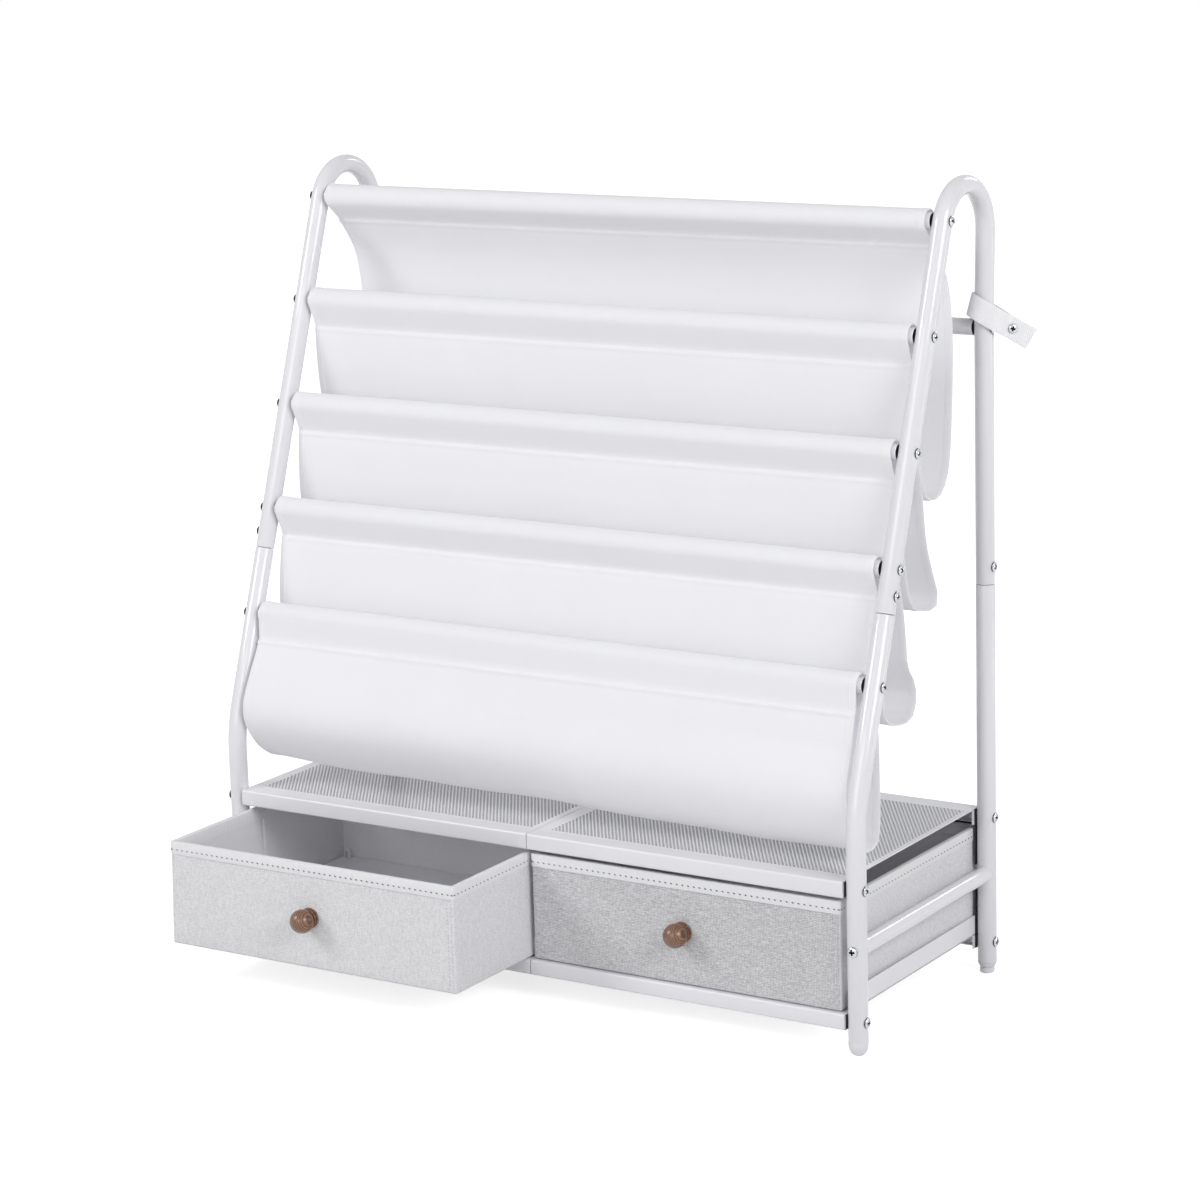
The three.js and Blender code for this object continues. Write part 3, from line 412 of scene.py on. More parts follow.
over_top, over_runs = arc(top_y, top_z, HAIRPIN_RADIUS, math.pi - SLANT, -FLARE, 48)
lower_bend, lower_runs = arc(LOWER_BEND, bend_end, LOWER_BEND, math.pi - SLANT, math.pi, 14)
for name, side in SIDES:
    hairpin = bent_tube([on_slant(FRONT_JOINT) + HAIRLINE * slant_run, *over_top, behind(FLARE_START),
                         behind(REAR_JOINT + HAIRLINE)], [slant_run, *over_runs, down, down], side)
    new_piece(f"hairpin_{name}", *hairpin, *tube_look, [f"hairpin_tube_{name}"])
    front = bent_tube([on_slant(FRONT_JOINT) - HAIRLINE * slant_run, *lower_bend,
                       in_front(FRONT_FOOT + HAIRLINE)],
                      [-slant_run, *lower_runs, down], side)
    new_piece(f"lower_front_leg_{name}", *front, *tube_look, [f"front_leg_{name}"])
    rear = bent_tube([behind(REAR_JOINT - HAIRLINE), behind(REAR_FOOT)], [down, down], side)
    new_piece(f"lower_rear_leg_{name}", *rear, *tube_look, [f"rear_leg_{name}"])

# %% [markdown]
# ## Feet
# The front feet are plain domes that close the tubes without a step. The rear feet step in: a shoulder, a
# dark groove and a narrower pad.

# %% Feet
DOME_FLAT, DOME_REACH = 4.2, 6.85
dome = [(0, 0), (DOME_FLAT, 0)]
dome += [(DOME_FLAT + DOME_REACH * math.sin(a), FRONT_FOOT * (1 - math.cos(a)))
         for a in np.linspace(0.12, math.pi / 2, 12)]
dome += [(LEG_RADIUS + 0.05, FRONT_FOOT + 1.4), (LEG_RADIUS - 0.1, FRONT_FOOT + 1.5), (0, FRONT_FOOT + 0.1)]
stepped = [(0, 0), (7.0, 0), (7.9, 0.5), (8.4, 1.6), (8.4, 5.9), (8.0, 6.2), (7.4, 6.2), (7.4, 7.0),
           (8.2, 7.0), (9.0, 8.0), (10.2, 10.4), (10.9, 12.4), (LEG_RADIUS, REAR_FOOT), (0, REAR_FOOT)]
for name, side in SIDES:
    for end, profile, y in (("front", dome, 0), ("rear", stepped, FRAME_DEPTH)):
        points, faces = turned(profile)
        new_piece(f"{end}_foot_cap_{name}", points + [side * LEG_X, y, 0], faces, "frame", foot_plastic,
                  "foot_plastic", [f"{end}_foot_{name}"])

# %% [markdown]
# ## Rods and side rails
# Five rods carry the cloth and one ties the rear legs. They are cut square, so a dark wedge shows between
# the hollow end and the round leg. The side rails are the same tube with their ends cut to the legs' round.

# %% Rods
ROD_RADIUS, ROD_BORE = 9.5, 8.3
ROD_SIDES = 40
LEG_GAP = 0.3
ROD_HALF = LEG_X - LEG_RADIUS - LEG_GAP
LOWEST_ROD, ROD_SPACING = 398.7, 126.45
ROD_HEIGHTS = [LOWEST_ROD + i * ROD_SPACING * math.cos(SLANT) for i in (4, 3, 2, 1, 0)]
INSERT_DEPTH = 6
end_ring = [(0, INSERT_DEPTH), (ROD_BORE, INSERT_DEPTH), (ROD_BORE, 0.2), (ROD_BORE + 0.3, 0), (9.2, 0),
            (ROD_RADIUS, 0.3)]
rod_profile = end_ring + [(r, 2 * ROD_HALF - h) for r, h in reversed(end_ring)]
rod_places = [(f"sling_rod_{i + 1}", on_slant(h)) for i, h in enumerate(ROD_HEIGHTS)]
rod_places.append(("rear_rod", behind(REAR_ROD_HEIGHT)))
for name, place in rod_places:
    points, faces = turned(rod_profile, ROD_SIDES)
    points = aimed(points, (1, 0, 0), place - [ROD_HALF, 0, 0])
    new_piece(f"{name}_tube", points, faces, *tube_look, [name])

# %% Side rails
RAIL_HEIGHT = 118.65
RAIL_BORE = 0.87
angles = np.linspace(0, 2 * math.pi, TUBE_SIDES, endpoint=False)
across, up = ROD_RADIUS * np.cos(angles), ROD_RADIUS * np.sin(angles)
cope = np.sqrt((LEG_RADIUS + 0.25) ** 2 - across ** 2)
rail_end = [(cope + 3, 0), (cope + 3, RAIL_BORE), (cope, RAIL_BORE), (cope, 1.0)]
for name, side in SIDES:
    rings = []
    for y, scale in rail_end + [(FRAME_DEPTH - reach, scale) for reach, scale in reversed(rail_end)]:
        rings.append(np.stack([side * LEG_X + scale * across, y + 0 * up, RAIL_HEIGHT + scale * up], -1))
    for ring in (rings[0], rings[-1]):
        ring[:, 1] = ring[:, 1].mean()
    faces = grid_faces(len(rings), TUBE_SIDES, close_columns=True)
    new_piece(f"side_rail_tube_{name}", np.concatenate(rings), faces, *tube_look, [f"side_rail_{name}"])

# %% [markdown]
# ## Button-head screws
# Pan heads with a cross recess hold everything. A head is turned first, then the points that lie inside the
# cross are pushed down, which is quicker than cutting and gives the same soft-edged recess that pressing
# does.

# %% One head, used everywhere
HEAD_RADIUS, HEAD_HEIGHT = 6.0, 3.0
SCREW_SIDES = 40
ARM_SHARE, ARM_REACH = 0.30, 0.58
RECESS_SHARE = 0.62


def screw_part(radius, height, shank, length):
    """A screw along +Z, its seat at zero, with a cross recess, and the map of its painted shade."""
    rim = [(0, -length), (shank, -length), (shank, 0), (radius * 0.97, 0), (radius, height * 0.08),
           (radius, height * 0.28), (radius * 0.96, height * 0.42)]
    steps = np.linspace(math.radians(20), math.pi / 2, 14)
    crown = [(radius * math.cos(a) ** 0.9, height * (0.36 + 0.64 * math.sin(a) ** 1.6)) for a in steps]
    crown[-1] = (0, height)
    points, faces = turned(rim + crown, SCREW_SIDES)
    x, y, z = points.T
    half, reach = ARM_SHARE * radius * 0.5, radius * ARM_REACH

    def inside(along, beside):
        narrow = np.clip((half - np.abs(beside)) / (0.25 * half) + 0.5, 0, 1)
        return narrow * np.clip((reach - np.abs(along)) / 0.5, 0, 1)

    depth = np.maximum(inside(x, y), inside(y, x)) * (z > height * 0.4)
    points[:, 2] = z - depth * height * RECESS_SHARE
    # Painted shade: the rim in the narrow gap under the head is marked for near black.
    shade_under_head = (z < height * 0.3) & (np.hypot(x, y) > radius * 0.5)
    painted_shade_marks = np.column_stack([np.maximum(np.clip(depth * 1.6, 0, 1), shade_under_head), 0 * depth])
    return points, faces, painted_shade_marks


def place_screw(name, seat, outward, stands_for=(), turn=0.0, length=3.0, radius=HEAD_RADIUS,
                height=HEAD_HEIGHT, shank=2.9):
    points, faces, painted_shade_marks = screw_part(radius, height, shank, length)
    c, s = math.cos(turn), math.sin(turn)
    points = points @ np.array([[c, s, 0], [-s, c, 0], [0, 0, 1]])
    new_piece(name, aimed(points, outward, seat), faces, "frame", zinc, "zinc_screw", stands_for, sharp=28,
              flat_map=painted_shade_marks)


# %% Screws of the frame
DECK_SCREW, TRAY_SCREW = 185.4, 37.5
ABOVE_JOINT = 20
screw_sites = [(f"rod_screw_{i + 1}", on_slant(h), True) for i, h in enumerate(ROD_HEIGHTS)]
screw_sites += [
    ("rear_rod_screw", behind(REAR_ROD_HEIGHT), True),
    ("front_joint_screw", on_slant(FRONT_JOINT) + ABOVE_JOINT * slant_run, True),
    ("rear_joint_screw", behind(REAR_JOINT + ABOVE_JOINT), True),
    ("front_deck_screw", in_front(DECK_SCREW), True),
    ("rear_deck_screw", behind(DECK_SCREW), True),
    ("front_tray_screw", in_front(TRAY_SCREW), False),
    ("rear_tray_screw", behind(TRAY_SCREW), False),
]
seat_gap = LEG_RADIUS - 0.35
for i, (name, place, is_node) in enumerate(screw_sites):
    for j, (end, side) in enumerate(SIDES):
        place_screw(f"{name}_{end}_zinc", place + [side * (LEG_X + seat_gap), 0, 0], (side, 0, 0),
                    [f"{name}_{end}"] if is_node else (), turn=0.5 + 1.9 * i + 0.8 * j)
for end, side in SIDES:
    for row, y, way in (("front", -seat_gap, -1), ("rear", FRAME_DEPTH + seat_gap, 1)):
        place_screw(f"{row}_rail_screw_{end}_zinc", (side * LEG_X, y, RAIL_HEIGHT), (0, way, 0),
                    turn=0.7 + side)
print("screws so far:", sum("screw" in name for name in made))

# %% [markdown]
# ## Black plugs in the rods
# A rod is cut square and the leg beside it is round, so one looks into the rod's end. There a black plug,
# where the screw goes in, is painted shade: a matt, near-black surface a few millimetres inside the tube.
# nylon takes the screw: a matt, dark surface a few millimetres inside the tube.

# %% Near-black for painted shade
# Near-black for painted shade: deep shade in the rods' hollow ends and in the gaps beside the legs.
painted_shade_black = grained("moulded_black_nylon", "#0B0B0C", 0.6, 1500.0, 0.2, 0.05)
painted_shade_look = ("frame", painted_shade_black, "foot_plastic")
PLUG_INSET, PLUG_LENGTH, PLUG_RADIUS = 0.6, 4.5, ROD_BORE - 0.2
plug, faces = turned([(0, 0), (PLUG_RADIUS, 0), (PLUG_RADIUS, -PLUG_LENGTH), (0, -PLUG_LENGTH)], 32)
plug_parts = [(aimed(plug, (side, 0, 0), place + [side * (ROD_HALF - PLUG_INSET), 0, 0]), faces)
              for _, place in rod_places for side in (-1, 1)]
new_piece("rod_end_plugs", *merged(plug_parts), *painted_shade_look)

# %% [markdown]
# ## Folded sheet
# The deck and the tray are sheets with lips folded down in front and behind, and each lip's edge is turned
# in once more. A fold is a small arc in the section, so it catches the light as a bright line along the
# edge. The section is drawn as a line, given its thickness, and drawn out along the width.

# %% Sections drawn out along X
SHEET = 1.2
FOLD = 2.0
FOLD_STEPS = 6
HEM = 7.0
LIP_Y, REAR_LIP_Y = -10.4, FRAME_DEPTH + 7.2
TAB = 20.0


def folded_line(corners):
    """A line of Y and Z with its inner corners turned into arcs."""
    corners = [np.array(c, float) for c in corners]
    line = [corners[0]]
    for before, corner, after in zip(corners, corners[1:], corners[2:]):
        start, end = corner + FOLD * unit(before - corner), corner + FOLD * unit(after - corner)
        for t in np.linspace(0, 1, FOLD_STEPS + 1):
            line.append((1 - t) ** 2 * start + 2 * t * (1 - t) * corner + t * t * end)
    line.append(corners[-1])
    return np.array(line)


def between_ends(first_end, second_end):
    """Joins two equal outlines, whose points run out along one side of a band and back along the other."""
    n = len(first_end)
    faces = [[i, (i + 1) % n, n + (i + 1) % n, n + i] for i in range(n)]
    for first in (0, n):
        faces += [[first + i, first + i + 1, first + n - 2 - i, first + n - 1 - i]
                  for i in range(n // 2 - 1)]
    return np.concatenate([first_end, second_end]), faces


def band_outline(line, thickness):
    """Out along the left side of a band of even thickness, and back along its right side."""
    out = normals_of(line) * thickness / 2
    return np.concatenate([line + out, (line - out)[::-1]])


def drawn_out(corners, low_x, high_x):
    """A folded sheet between two places along X."""
    outline = band_outline(folded_line(corners), SHEET)
    return between_ends(*(at_height(outline, x)[:, [2, 0, 1]] for x in (low_x, high_x)))


# %% [markdown]
# ## Deck and tray
# The deck's middle is perforated in staggered rows, and the rows' diagonals give the stripes in the
# photograph. The holes are real openings here, each a small six-sided ring with its own wall, because a
# painted pattern would look flat from close by and from below. Their walls are coloured mid-grey as painted
# shade, for the shade inside the holes. The tray is plain, with a flange turned up beside each drawer.

# %% Painted shade inside the holes
# Mid-grey with a speckle on the holes' walls: painted shade for the shade inside each hole.
hole_wall_shade, tree, shader = new_material("thinly_coated_punched_steel", "#74767A", 0.5)
place = add_node(tree, "TexCoord").outputs["Object"]
speckle = add_node(tree, "TexNoise", {"Vector": place, "Scale": 500.0})
add_node(tree, "Mix", {0: speckle, 6: linear("#8C8E92"), 7: linear("#ACAEB2")},
         shader.inputs["Base Color"], 2, data_type="RGBA")

# %% Holes in staggered rows
DECK_HALF = ROD_HALF
SEAM = 0.4
DECK_TOP, DECK_LIP = 195.1, 18.7
HOLE_PITCH = 4.73
ROW_PITCH = 3.6
HOLE_RADIUS = 1.55
FIELD_MARGIN = 16.0
FIELD_FRONT = 15.0
FIELD_ROWS = 77
FIELD_COLUMNS = 81


def perforated_field(low_x, low_y, top):
    """A plate of little cells, each with a hole; every other row is set over by half a pitch."""
    angles = np.arange(6) * math.pi / 3
    hole = np.stack([HOLE_RADIUS * np.cos(angles), HOLE_RADIUS * np.sin(angles)], -1)
    half = np.array([HOLE_PITCH, ROW_PITCH]) / 2
    corners = np.array([(1, 1), (-1, 1), (-1, -1), (1, -1)]) * half
    flat = np.concatenate([hole, corners])
    points = np.concatenate([at_height(flat, z) for z in (0, -SHEET)])
    ring = [[6, 0, 9], [6, 1, 0], [6, 7, 2, 1], [7, 3, 2], [7, 8, 3], [8, 4, 3], [8, 9, 5, 4], [9, 0, 5]]
    below = [[10 + i for i in reversed(face)] for face in ring]
    wall = [[i, (i + 1) % 6, 10 + (i + 1) % 6, 10 + i] for i in range(6)]
    triangles = np.array([f for f in ring + below if len(f) == 3])
    quads = np.array([f for f in ring + below if len(f) == 4] + wall)
    places, plain = [], []
    for row in range(FIELD_ROWS):
        y = low_y + (row + 0.5) * ROW_PITCH
        odd = row % 2
        x = low_x + (np.arange(FIELD_COLUMNS - odd) + 0.5 + odd / 2) * HOLE_PITCH
        places.append(np.column_stack([x, np.full(len(x), y), np.full(len(x), top)]))
        if odd:
            for start in (low_x, low_x + (FIELD_COLUMNS - 0.5) * HOLE_PITCH):
                low, high = (start, y - half[1], top - SHEET), (start + half[0], y + half[1], top)
                plain.append(box_part(low, high))
    places = np.concatenate(places)
    cells = (places[:, None, :] + points).reshape(-1, 3)
    first = np.arange(len(places)) * len(points)
    faces = (triangles + first[:, None, None]).reshape(-1, 3).tolist()
    faces += (quads + first[:, None, None]).reshape(-1, 4).tolist()
    return merged([(cells, faces)] + plain), len(places)


# %% Sizes of the panels
TRAY_TOP, TRAY_LIP = 46.0, 17.8
FLANGE, FLANGE_START = 22.0, LIP_Y + 12
BUSH_BORE, BUSH_RADIUS, BUSH_LENGTH = 3.3, 5, 7
field_back = FIELD_FRONT + FIELD_ROWS * ROW_PITCH
bush_profile = [(BUSH_BORE, 0), (BUSH_RADIUS, 0), (BUSH_RADIUS, BUSH_LENGTH), (BUSH_BORE, BUSH_LENGTH),
                (BUSH_BORE, 0)]


# %% Tabs and lips
def tab_parts(low_x, high_x, side, top, lip, screw_height):
    """The corner tabs of a panel, and the bushes that its screws go into."""
    low_z, high_z = top - lip + SHEET / 2, top - SHEET / 2
    parts = [box_part((x, y0, low_z), (x + SHEET, y1, high_z)) for x in (low_x, high_x - SHEET)
             for y0, y1 in ((LIP_Y + SHEET / 2, LIP_Y + TAB), (REAR_LIP_Y - TAB, REAR_LIP_Y - SHEET / 2))]
    bush, faces = turned(bush_profile, 24)
    outer = (high_x - SHEET if side > 0 else low_x) + SHEET / 2
    return parts + [(aimed(bush, (-side, 0, 0), (outer, y, screw_height)), faces) for y in (0, FRAME_DEPTH)]


def lip_corners(lip_y, way, top, lip):
    """From the turned-in edge up the lip to the plate."""
    face, mid, bottom = lip_y + way * SHEET / 2, top - SHEET / 2, top - lip + SHEET / 2
    return [(face + way * HEM, bottom), (face, bottom), (face, mid)]


# %% Both decks and trays
for name, side in SIDES:
    low_x, high_x = (SEAM, DECK_HALF) if side > 0 else (-DECK_HALF, -SEAM)
    field_x = FIELD_MARGIN if side > 0 else -FIELD_MARGIN / 2 - FIELD_COLUMNS * HOLE_PITCH
    field_end = field_x + FIELD_COLUMNS * HOLE_PITCH
    deck = []
    for lip_y, way, end_y in ((LIP_Y, 1, FIELD_FRONT), (REAR_LIP_Y, -1, field_back)):
        corners = lip_corners(lip_y, way, DECK_TOP, DECK_LIP) + [(end_y, DECK_TOP - SHEET / 2)]
        deck.append(drawn_out(corners, low_x, high_x))
    deck += [box_part((x0, FIELD_FRONT, DECK_TOP - SHEET), (x1, field_back, DECK_TOP))
             for x0, x1 in ((low_x, field_x), (field_end, high_x))]
    deck += tab_parts(low_x, high_x, side, DECK_TOP, DECK_LIP, DECK_SCREW)
    new_piece(f"deck_rim_{name}", *merged(deck), *sheet_look, [f"deck_panel_{name}"], sharp=50, weld=False)
    field, holes = perforated_field(field_x, FIELD_FRONT, DECK_TOP)
    mesh_piece = new_piece(f"deck_perforated_{name}", *field, *sheet_look, weld=False)
    # The holes' upright walls get the painted shade.
    mesh_piece.data.materials.append(hole_wall_shade)
    upright = [abs(polygon.normal.z) < 0.5 for polygon in mesh_piece.data.polygons]
    mesh_piece.data.polygons.foreach_set("material_index", upright)

    tray_edges = lip_corners(LIP_Y, 1, TRAY_TOP, TRAY_LIP), lip_corners(REAR_LIP_Y, -1, TRAY_TOP, TRAY_LIP)
    tray = [drawn_out(tray_edges[0] + tray_edges[1][::-1], low_x, high_x)]
    tray += [box_part((x, FLANGE_START, TRAY_TOP - SHEET / 2),
                      (x + SHEET, REAR_LIP_Y - FOLD, TRAY_TOP + FLANGE))
             for x in (low_x, high_x - SHEET)]
    tray += tab_parts(low_x, high_x, side, TRAY_TOP, TRAY_LIP, TRAY_SCREW)
    new_piece(f"tray_{name}", *merged(tray), *sheet_look, [f"tray_panel_{name}"], sharp=50, weld=False)
    print(name, "deck:", holes, "holes")

# %% [markdown]
# ## Saddles between panels and legs
# A panel's end is flat and a leg is round. Black saddles fill the wedge between them: short ones in
# front, and long strips behind, above and below the side rails. A black strip under the deck's rear lip
# closes the slit over the drawers' backs. All of them are painted shade, black put where these gaps lie in
# deep shade. In the photograph these are the black lines beside the legs and under the deck.

# %% Black saddles as painted shade
SADDLE_WIDTH = 1.6
REAR_REACH, FRONT_REACH = 8.8, {"left": 5.0, "right": 7.6}
REAR_SADDLES, FRONT_SADDLES = ((129.0, 194.0), (29.5, 108.5)), ((178.0, 194.0), (29.5, 45.0))  # heights
SLIT_LOW, SLIT_HIGH = 171.7, DECK_TOP - DECK_LIP


def saddle(side, y, reach, low_z, high_z):
    """Flat on the panel's side and hollow on the leg's side."""
    ys = np.linspace(-reach, reach, 17)
    round_side = LEG_X - np.sqrt(np.clip((LEG_RADIUS + 0.1) ** 2 - ys ** 2, 0, None))
    round_side = np.minimum(round_side, DECK_HALF + SADDLE_WIDTH)
    flat_side = np.full(len(ys), DECK_HALF + 0.1)
    outline = np.concatenate([np.column_stack([flat_side, ys]), np.column_stack([round_side, ys])[::-1]])
    outline = outline * [side, 1] + [0, y]
    return between_ends(at_height(outline, low_z), at_height(outline, high_z))


# Painted shade: near-black saddles in the gaps beside the legs.
for name, side in SIDES:
    saddles = [saddle(side, FRAME_DEPTH, REAR_REACH, *heights) for heights in REAR_SADDLES]
    saddles += [saddle(side, 0, FRONT_REACH[name], *heights) for heights in FRONT_SADDLES]
    new_piece(f"panel_saddles_{name}", *merged(saddles), *painted_shade_look)
# Painted shade: a near-black strip in the slit under the deck's rear lip.
slit_strip = box_part((-DECK_HALF, REAR_LIP_Y - SHEET, SLIT_LOW), (DECK_HALF, REAR_LIP_Y, SLIT_HIGH))
new_piece("deck_slit_strip", *slit_strip, *painted_shade_look)

# %% Screws of the middle seam
for i, (row, y) in enumerate((("front", 0), ("rear", FRAME_DEPTH))):
    for level, z in (("deck", DECK_SCREW), ("tray", TRAY_SCREW)):
        place_screw(f"{level}_seam_screw_{row}", (SEAM + SHEET + 0.1, y, z), (1, 0, 0), turn=0.9 + i,
                    length=6, radius=4.5, height=2.4, shank=2.0)

# %% [markdown]
# ## Cotton canvas
# The sling is heavy plain-woven cotton. Its threads are about 0.6 mm apart, too fine for the render, so
# they are drawn four times as coarse and very faint. What stays visible is a matt white with slow, cloudy
# changes where the cloth is handled, and a little sheen at grazing angles. Light also comes through the
# cloth. The cloth also glows faintly in its own white, though it is no lamp: painted light, so that the
# pockets' hollows stay bright.

# %% Canvas
CANVAS_WHITE, CANVAS_SHADE = "#EBEBED", "#E4E4E7"
THREAD_MM = 2.4
PAINTED_GLOW = 0.15
THROUGH_SHARE = 0.24


def thread_waves(tree, ways, pitch_mm):
    """A wave along each of some ways, one thread long."""
    waves = []
    for way in ways:
        angle = add_node(tree, "Math", {0: way, 1: 2 * math.pi / (pitch_mm * MM)}, operation="MULTIPLY")
        waves.append(add_node(tree, "Math", {0: angle}, operation="SINE"))
    return waves


# The emission is painted light: the cloth glows faintly in its own white, though it is no lamp.
canvas, tree, shader = new_material("plain_woven_cotton_canvas", CANVAS_WHITE, 0.9, [
    ("Sheen Weight", 0.15), ("Sheen Roughness", 0.5), ("Specular IOR Level", 0.2),
    ("Emission Color", linear(CANVAS_WHITE)), ("Emission Strength", PAINTED_GLOW)])
place = add_node(tree, "UVMap", uv_map=SURFACE_MAP).outputs[0]
axes = add_node(tree, "SeparateXYZ", {0: place})
waves = thread_waves(tree, axes.outputs[:2], THREAD_MM)
weave = add_node(tree, "Math", {0: waves[0], 1: waves[1]}, operation="MULTIPLY")
clouds = add_node(tree, "TexNoise", {"Vector": place, "Scale": 14.0, "Detail": 5.0, "Roughness": 0.6})
speck = add_node(tree, "TexNoise", {"Vector": place, "Scale": 420.0, "Detail": 2.0})
specked = add_node(tree, "Mix", {0: 0.5, 2: speck, 3: clouds}, data_type="FLOAT")
tone = add_node(tree, "Math", {0: weave, 1: 0.12, 2: specked}, operation="MULTIPLY_ADD")
height = add_node(tree, "Math", {0: weave, 1: 0.5, 2: speck}, operation="MULTIPLY_ADD")
bump = tone_and_relief(tree, shader, tone, (CANVAS_SHADE, CANVAS_WHITE), height, 0.12, 0.3)
light_through = add_node(tree, "BsdfTranslucent", {"Color": linear(CANVAS_WHITE), "Normal": bump})
add_node(tree, "MixShader", {0: THROUGH_SHARE, 1: shader.outputs[0], 2: light_through},
         tree.nodes["Material Output"].inputs["Surface"])

thread, tree, shader = new_material("twisted_polyester_thread", "#F6F6F4", 0.6)
place = add_node(tree, "TexCoord").outputs["Object"]
twist = add_node(tree, "TexWave", {"Vector": place, "Scale": 600.0},
                 bands_direction="DIAGONAL").outputs["Fac"]
add_node(tree, "Bump", {"Height": twist, "Strength": 0.3, "Distance": 0.1 * MM}, shader.inputs["Normal"])

# %% [markdown]
# ## The sling's path
# One sheet makes all four pockets. From a seam at the back of the top rod it goes over that rod and down
# behind the next one, where it turns up, goes over the next rod and down again, and so on. Each time it
# passes a rod it is sewn to itself below it. The path is drawn once in Y and Z, through points that say how
# far the cloth hangs behind and below each front rod, and is then given its width.

# %% Path of the cloth
CLOTH_HALF = 400.0
CLOTH = 1.2
STITCH_DROP = 32.0
CLOSE_DROP = 29.0
REACH, DROP = 97.0, 189.0
LOOP_RADIUS = ROD_RADIUS + 2.4 + CLOTH / 2
LAYER = (CLOTH + 0.15) / 2
LEANS = [math.radians(27), 0, 0, 0, math.radians(-25)]
POCKETS = [
    [(0.86, -0.27), (0.98, 0.01), (0.99, 0.30), (0.94, 0.67), (0.86, 0.87), (0.68, 0.98), (0.44, 1.00),
     (0.25, 0.94), (0.14, 0.72), (0.06, 0.41)],
    [(0.42, -0.35), (0.46, -0.07), (0.61, 0.30), (0.70, 0.59), (0.86, 0.80), (0.99, 0.94), (0.92, 1.00),
     (0.66, 0.99), (0.36, 0.93), (0.22, 0.72), (0.09, 0.41)],
    [(0.40, -0.33), (0.41, -0.02), (0.57, 0.28), (0.64, 0.52), (0.67, 0.65), (0.82, 0.76), (0.87, 0.86),
     (0.76, 0.96), (0.48, 0.97), (0.14, 0.90), (0.09, 0.70), (0.05, 0.41)],
    [(0.38, -0.37), (0.31, -0.09), (0.35, 0.15), (0.41, 0.35), (0.43, 0.66), (0.41, 0.92), (0.31, 1.00),
     (0.04, 1.00), (-0.22, 0.92), (-0.39, 0.82), (-0.51, 0.71), (-0.54, 0.61), (-0.49, 0.50),
     (-0.29, 0.30)],
]
FRONT_POCKET = len(POCKETS) - 1
POCKET_ROWS, LOOP_ROWS = 62, 20
GATHER = 0.85
rods = [on_slant(h)[1:] for h in ROD_HEIGHTS]


def through(points, count, gather=0.0):
    """A smooth curve through points, at even steps, or at steps that gather towards its ends."""
    p = np.array([points[0], *points, points[-1]], float)
    fine = []
    for a, b, c, d in zip(p, p[1:], p[2:], p[3:]):
        t = np.linspace(0, 1, 24, endpoint=False)[:, None]
        fine.append(0.5 * (2 * b + (c - a) * t + (2 * a - 5 * b + 4 * c - d) * t ** 2
                           + (3 * b - a - 3 * c + d) * t ** 3))
    fine = np.concatenate(fine + [p[-1:]])
    length = lengths_along(fine)
    share = np.linspace(0, 1, count)
    share -= gather * np.sin(2 * math.pi * share) / (2 * math.pi)
    return between(share * length[-1], length, fine)


def hang_of(i):
    return np.array([math.sin(LEANS[i]), -math.cos(LEANS[i])])


def seam_point(i, way):
    """Where a layer of the cloth passes the seam below rod i; way is +1 behind and -1 in front."""
    hang = hang_of(i)
    return rods[i] + STITCH_DROP * hang + way * LAYER * np.array([-hang[1], hang[0]])


def over_rod(i, first):
    """Up from the seam on one side, round the rod and down to the seam on the other side."""
    hang = hang_of(i)
    across = np.array([-hang[1], hang[0]])
    below = math.asin(LOOP_RADIUS / CLOSE_DROP)
    angles = np.linspace(-below, math.pi + below, LOOP_ROWS)
    loop = [rods[i] + LOOP_RADIUS * (math.cos(a) * across * first - math.sin(a) * hang) for a in angles]
    near, far = (rods[i] + CLOSE_DROP * hang + way * LAYER * across for way in (first, -first))
    up = [near + t * (loop[0] - near) for t in (0, 0.2, 0.4, 0.6, 0.8)]
    down_again = [loop[-1] + t * (far - loop[-1]) for t in (0.2, 0.4, 0.6, 0.8, 1)]
    return [*up, *loop, *down_again]


# %% From seam to seam
SEAM_END = 3
rows, kind, seam_rows = [], [], []


def lay(points, mark):
    """Adds rows to the path, marked with their pocket, or with -1 on a rod."""
    rows.extend(points)
    kind.extend([mark] * len(points))


lay([seam_point(0, 1) + SEAM_END * hang_of(0), seam_point(0, 1)], -1)
lay(over_rod(0, 1), -1)
for i, shares in enumerate(POCKETS):
    way = -1 if i == FRONT_POCKET else 1
    lobe = [rods[i + 1] + [back * REACH, -below * DROP] for back, below in shares]
    curve = through([seam_point(i, -1), *lobe, seam_point(i + 1, way)], POCKET_ROWS, GATHER)
    seam_rows.append(len(rows))
    lay(curve, i)
    lay(over_rod(i + 1, way), -1)
seam_rows.append(len(rows))
lay([seam_point(4, 1), seam_point(4, 1) + SEAM_END * hang_of(4)], -1)
rows, kind = np.array(rows), np.array(kind)
along = lengths_along(rows)
front_seam = int(np.flatnonzero(kind == FRONT_POCKET)[-1])
print("cloth's length:", round(along[-1]), "mm; rows:", len(rows))

# %% [markdown]
# ## The sling's surface
# Across its width the cloth is nearly straight, but never quite: it sways a few millimetres in the pockets,
# puckers a little along each seam, and is doubled in a narrow hem at both sides. Just below a seam the
# turned-in edge makes a low ridge. The casings stand a little looser on the rods at the left end, and the
# front pocket hangs flatter towards its right end, as in the photograph.

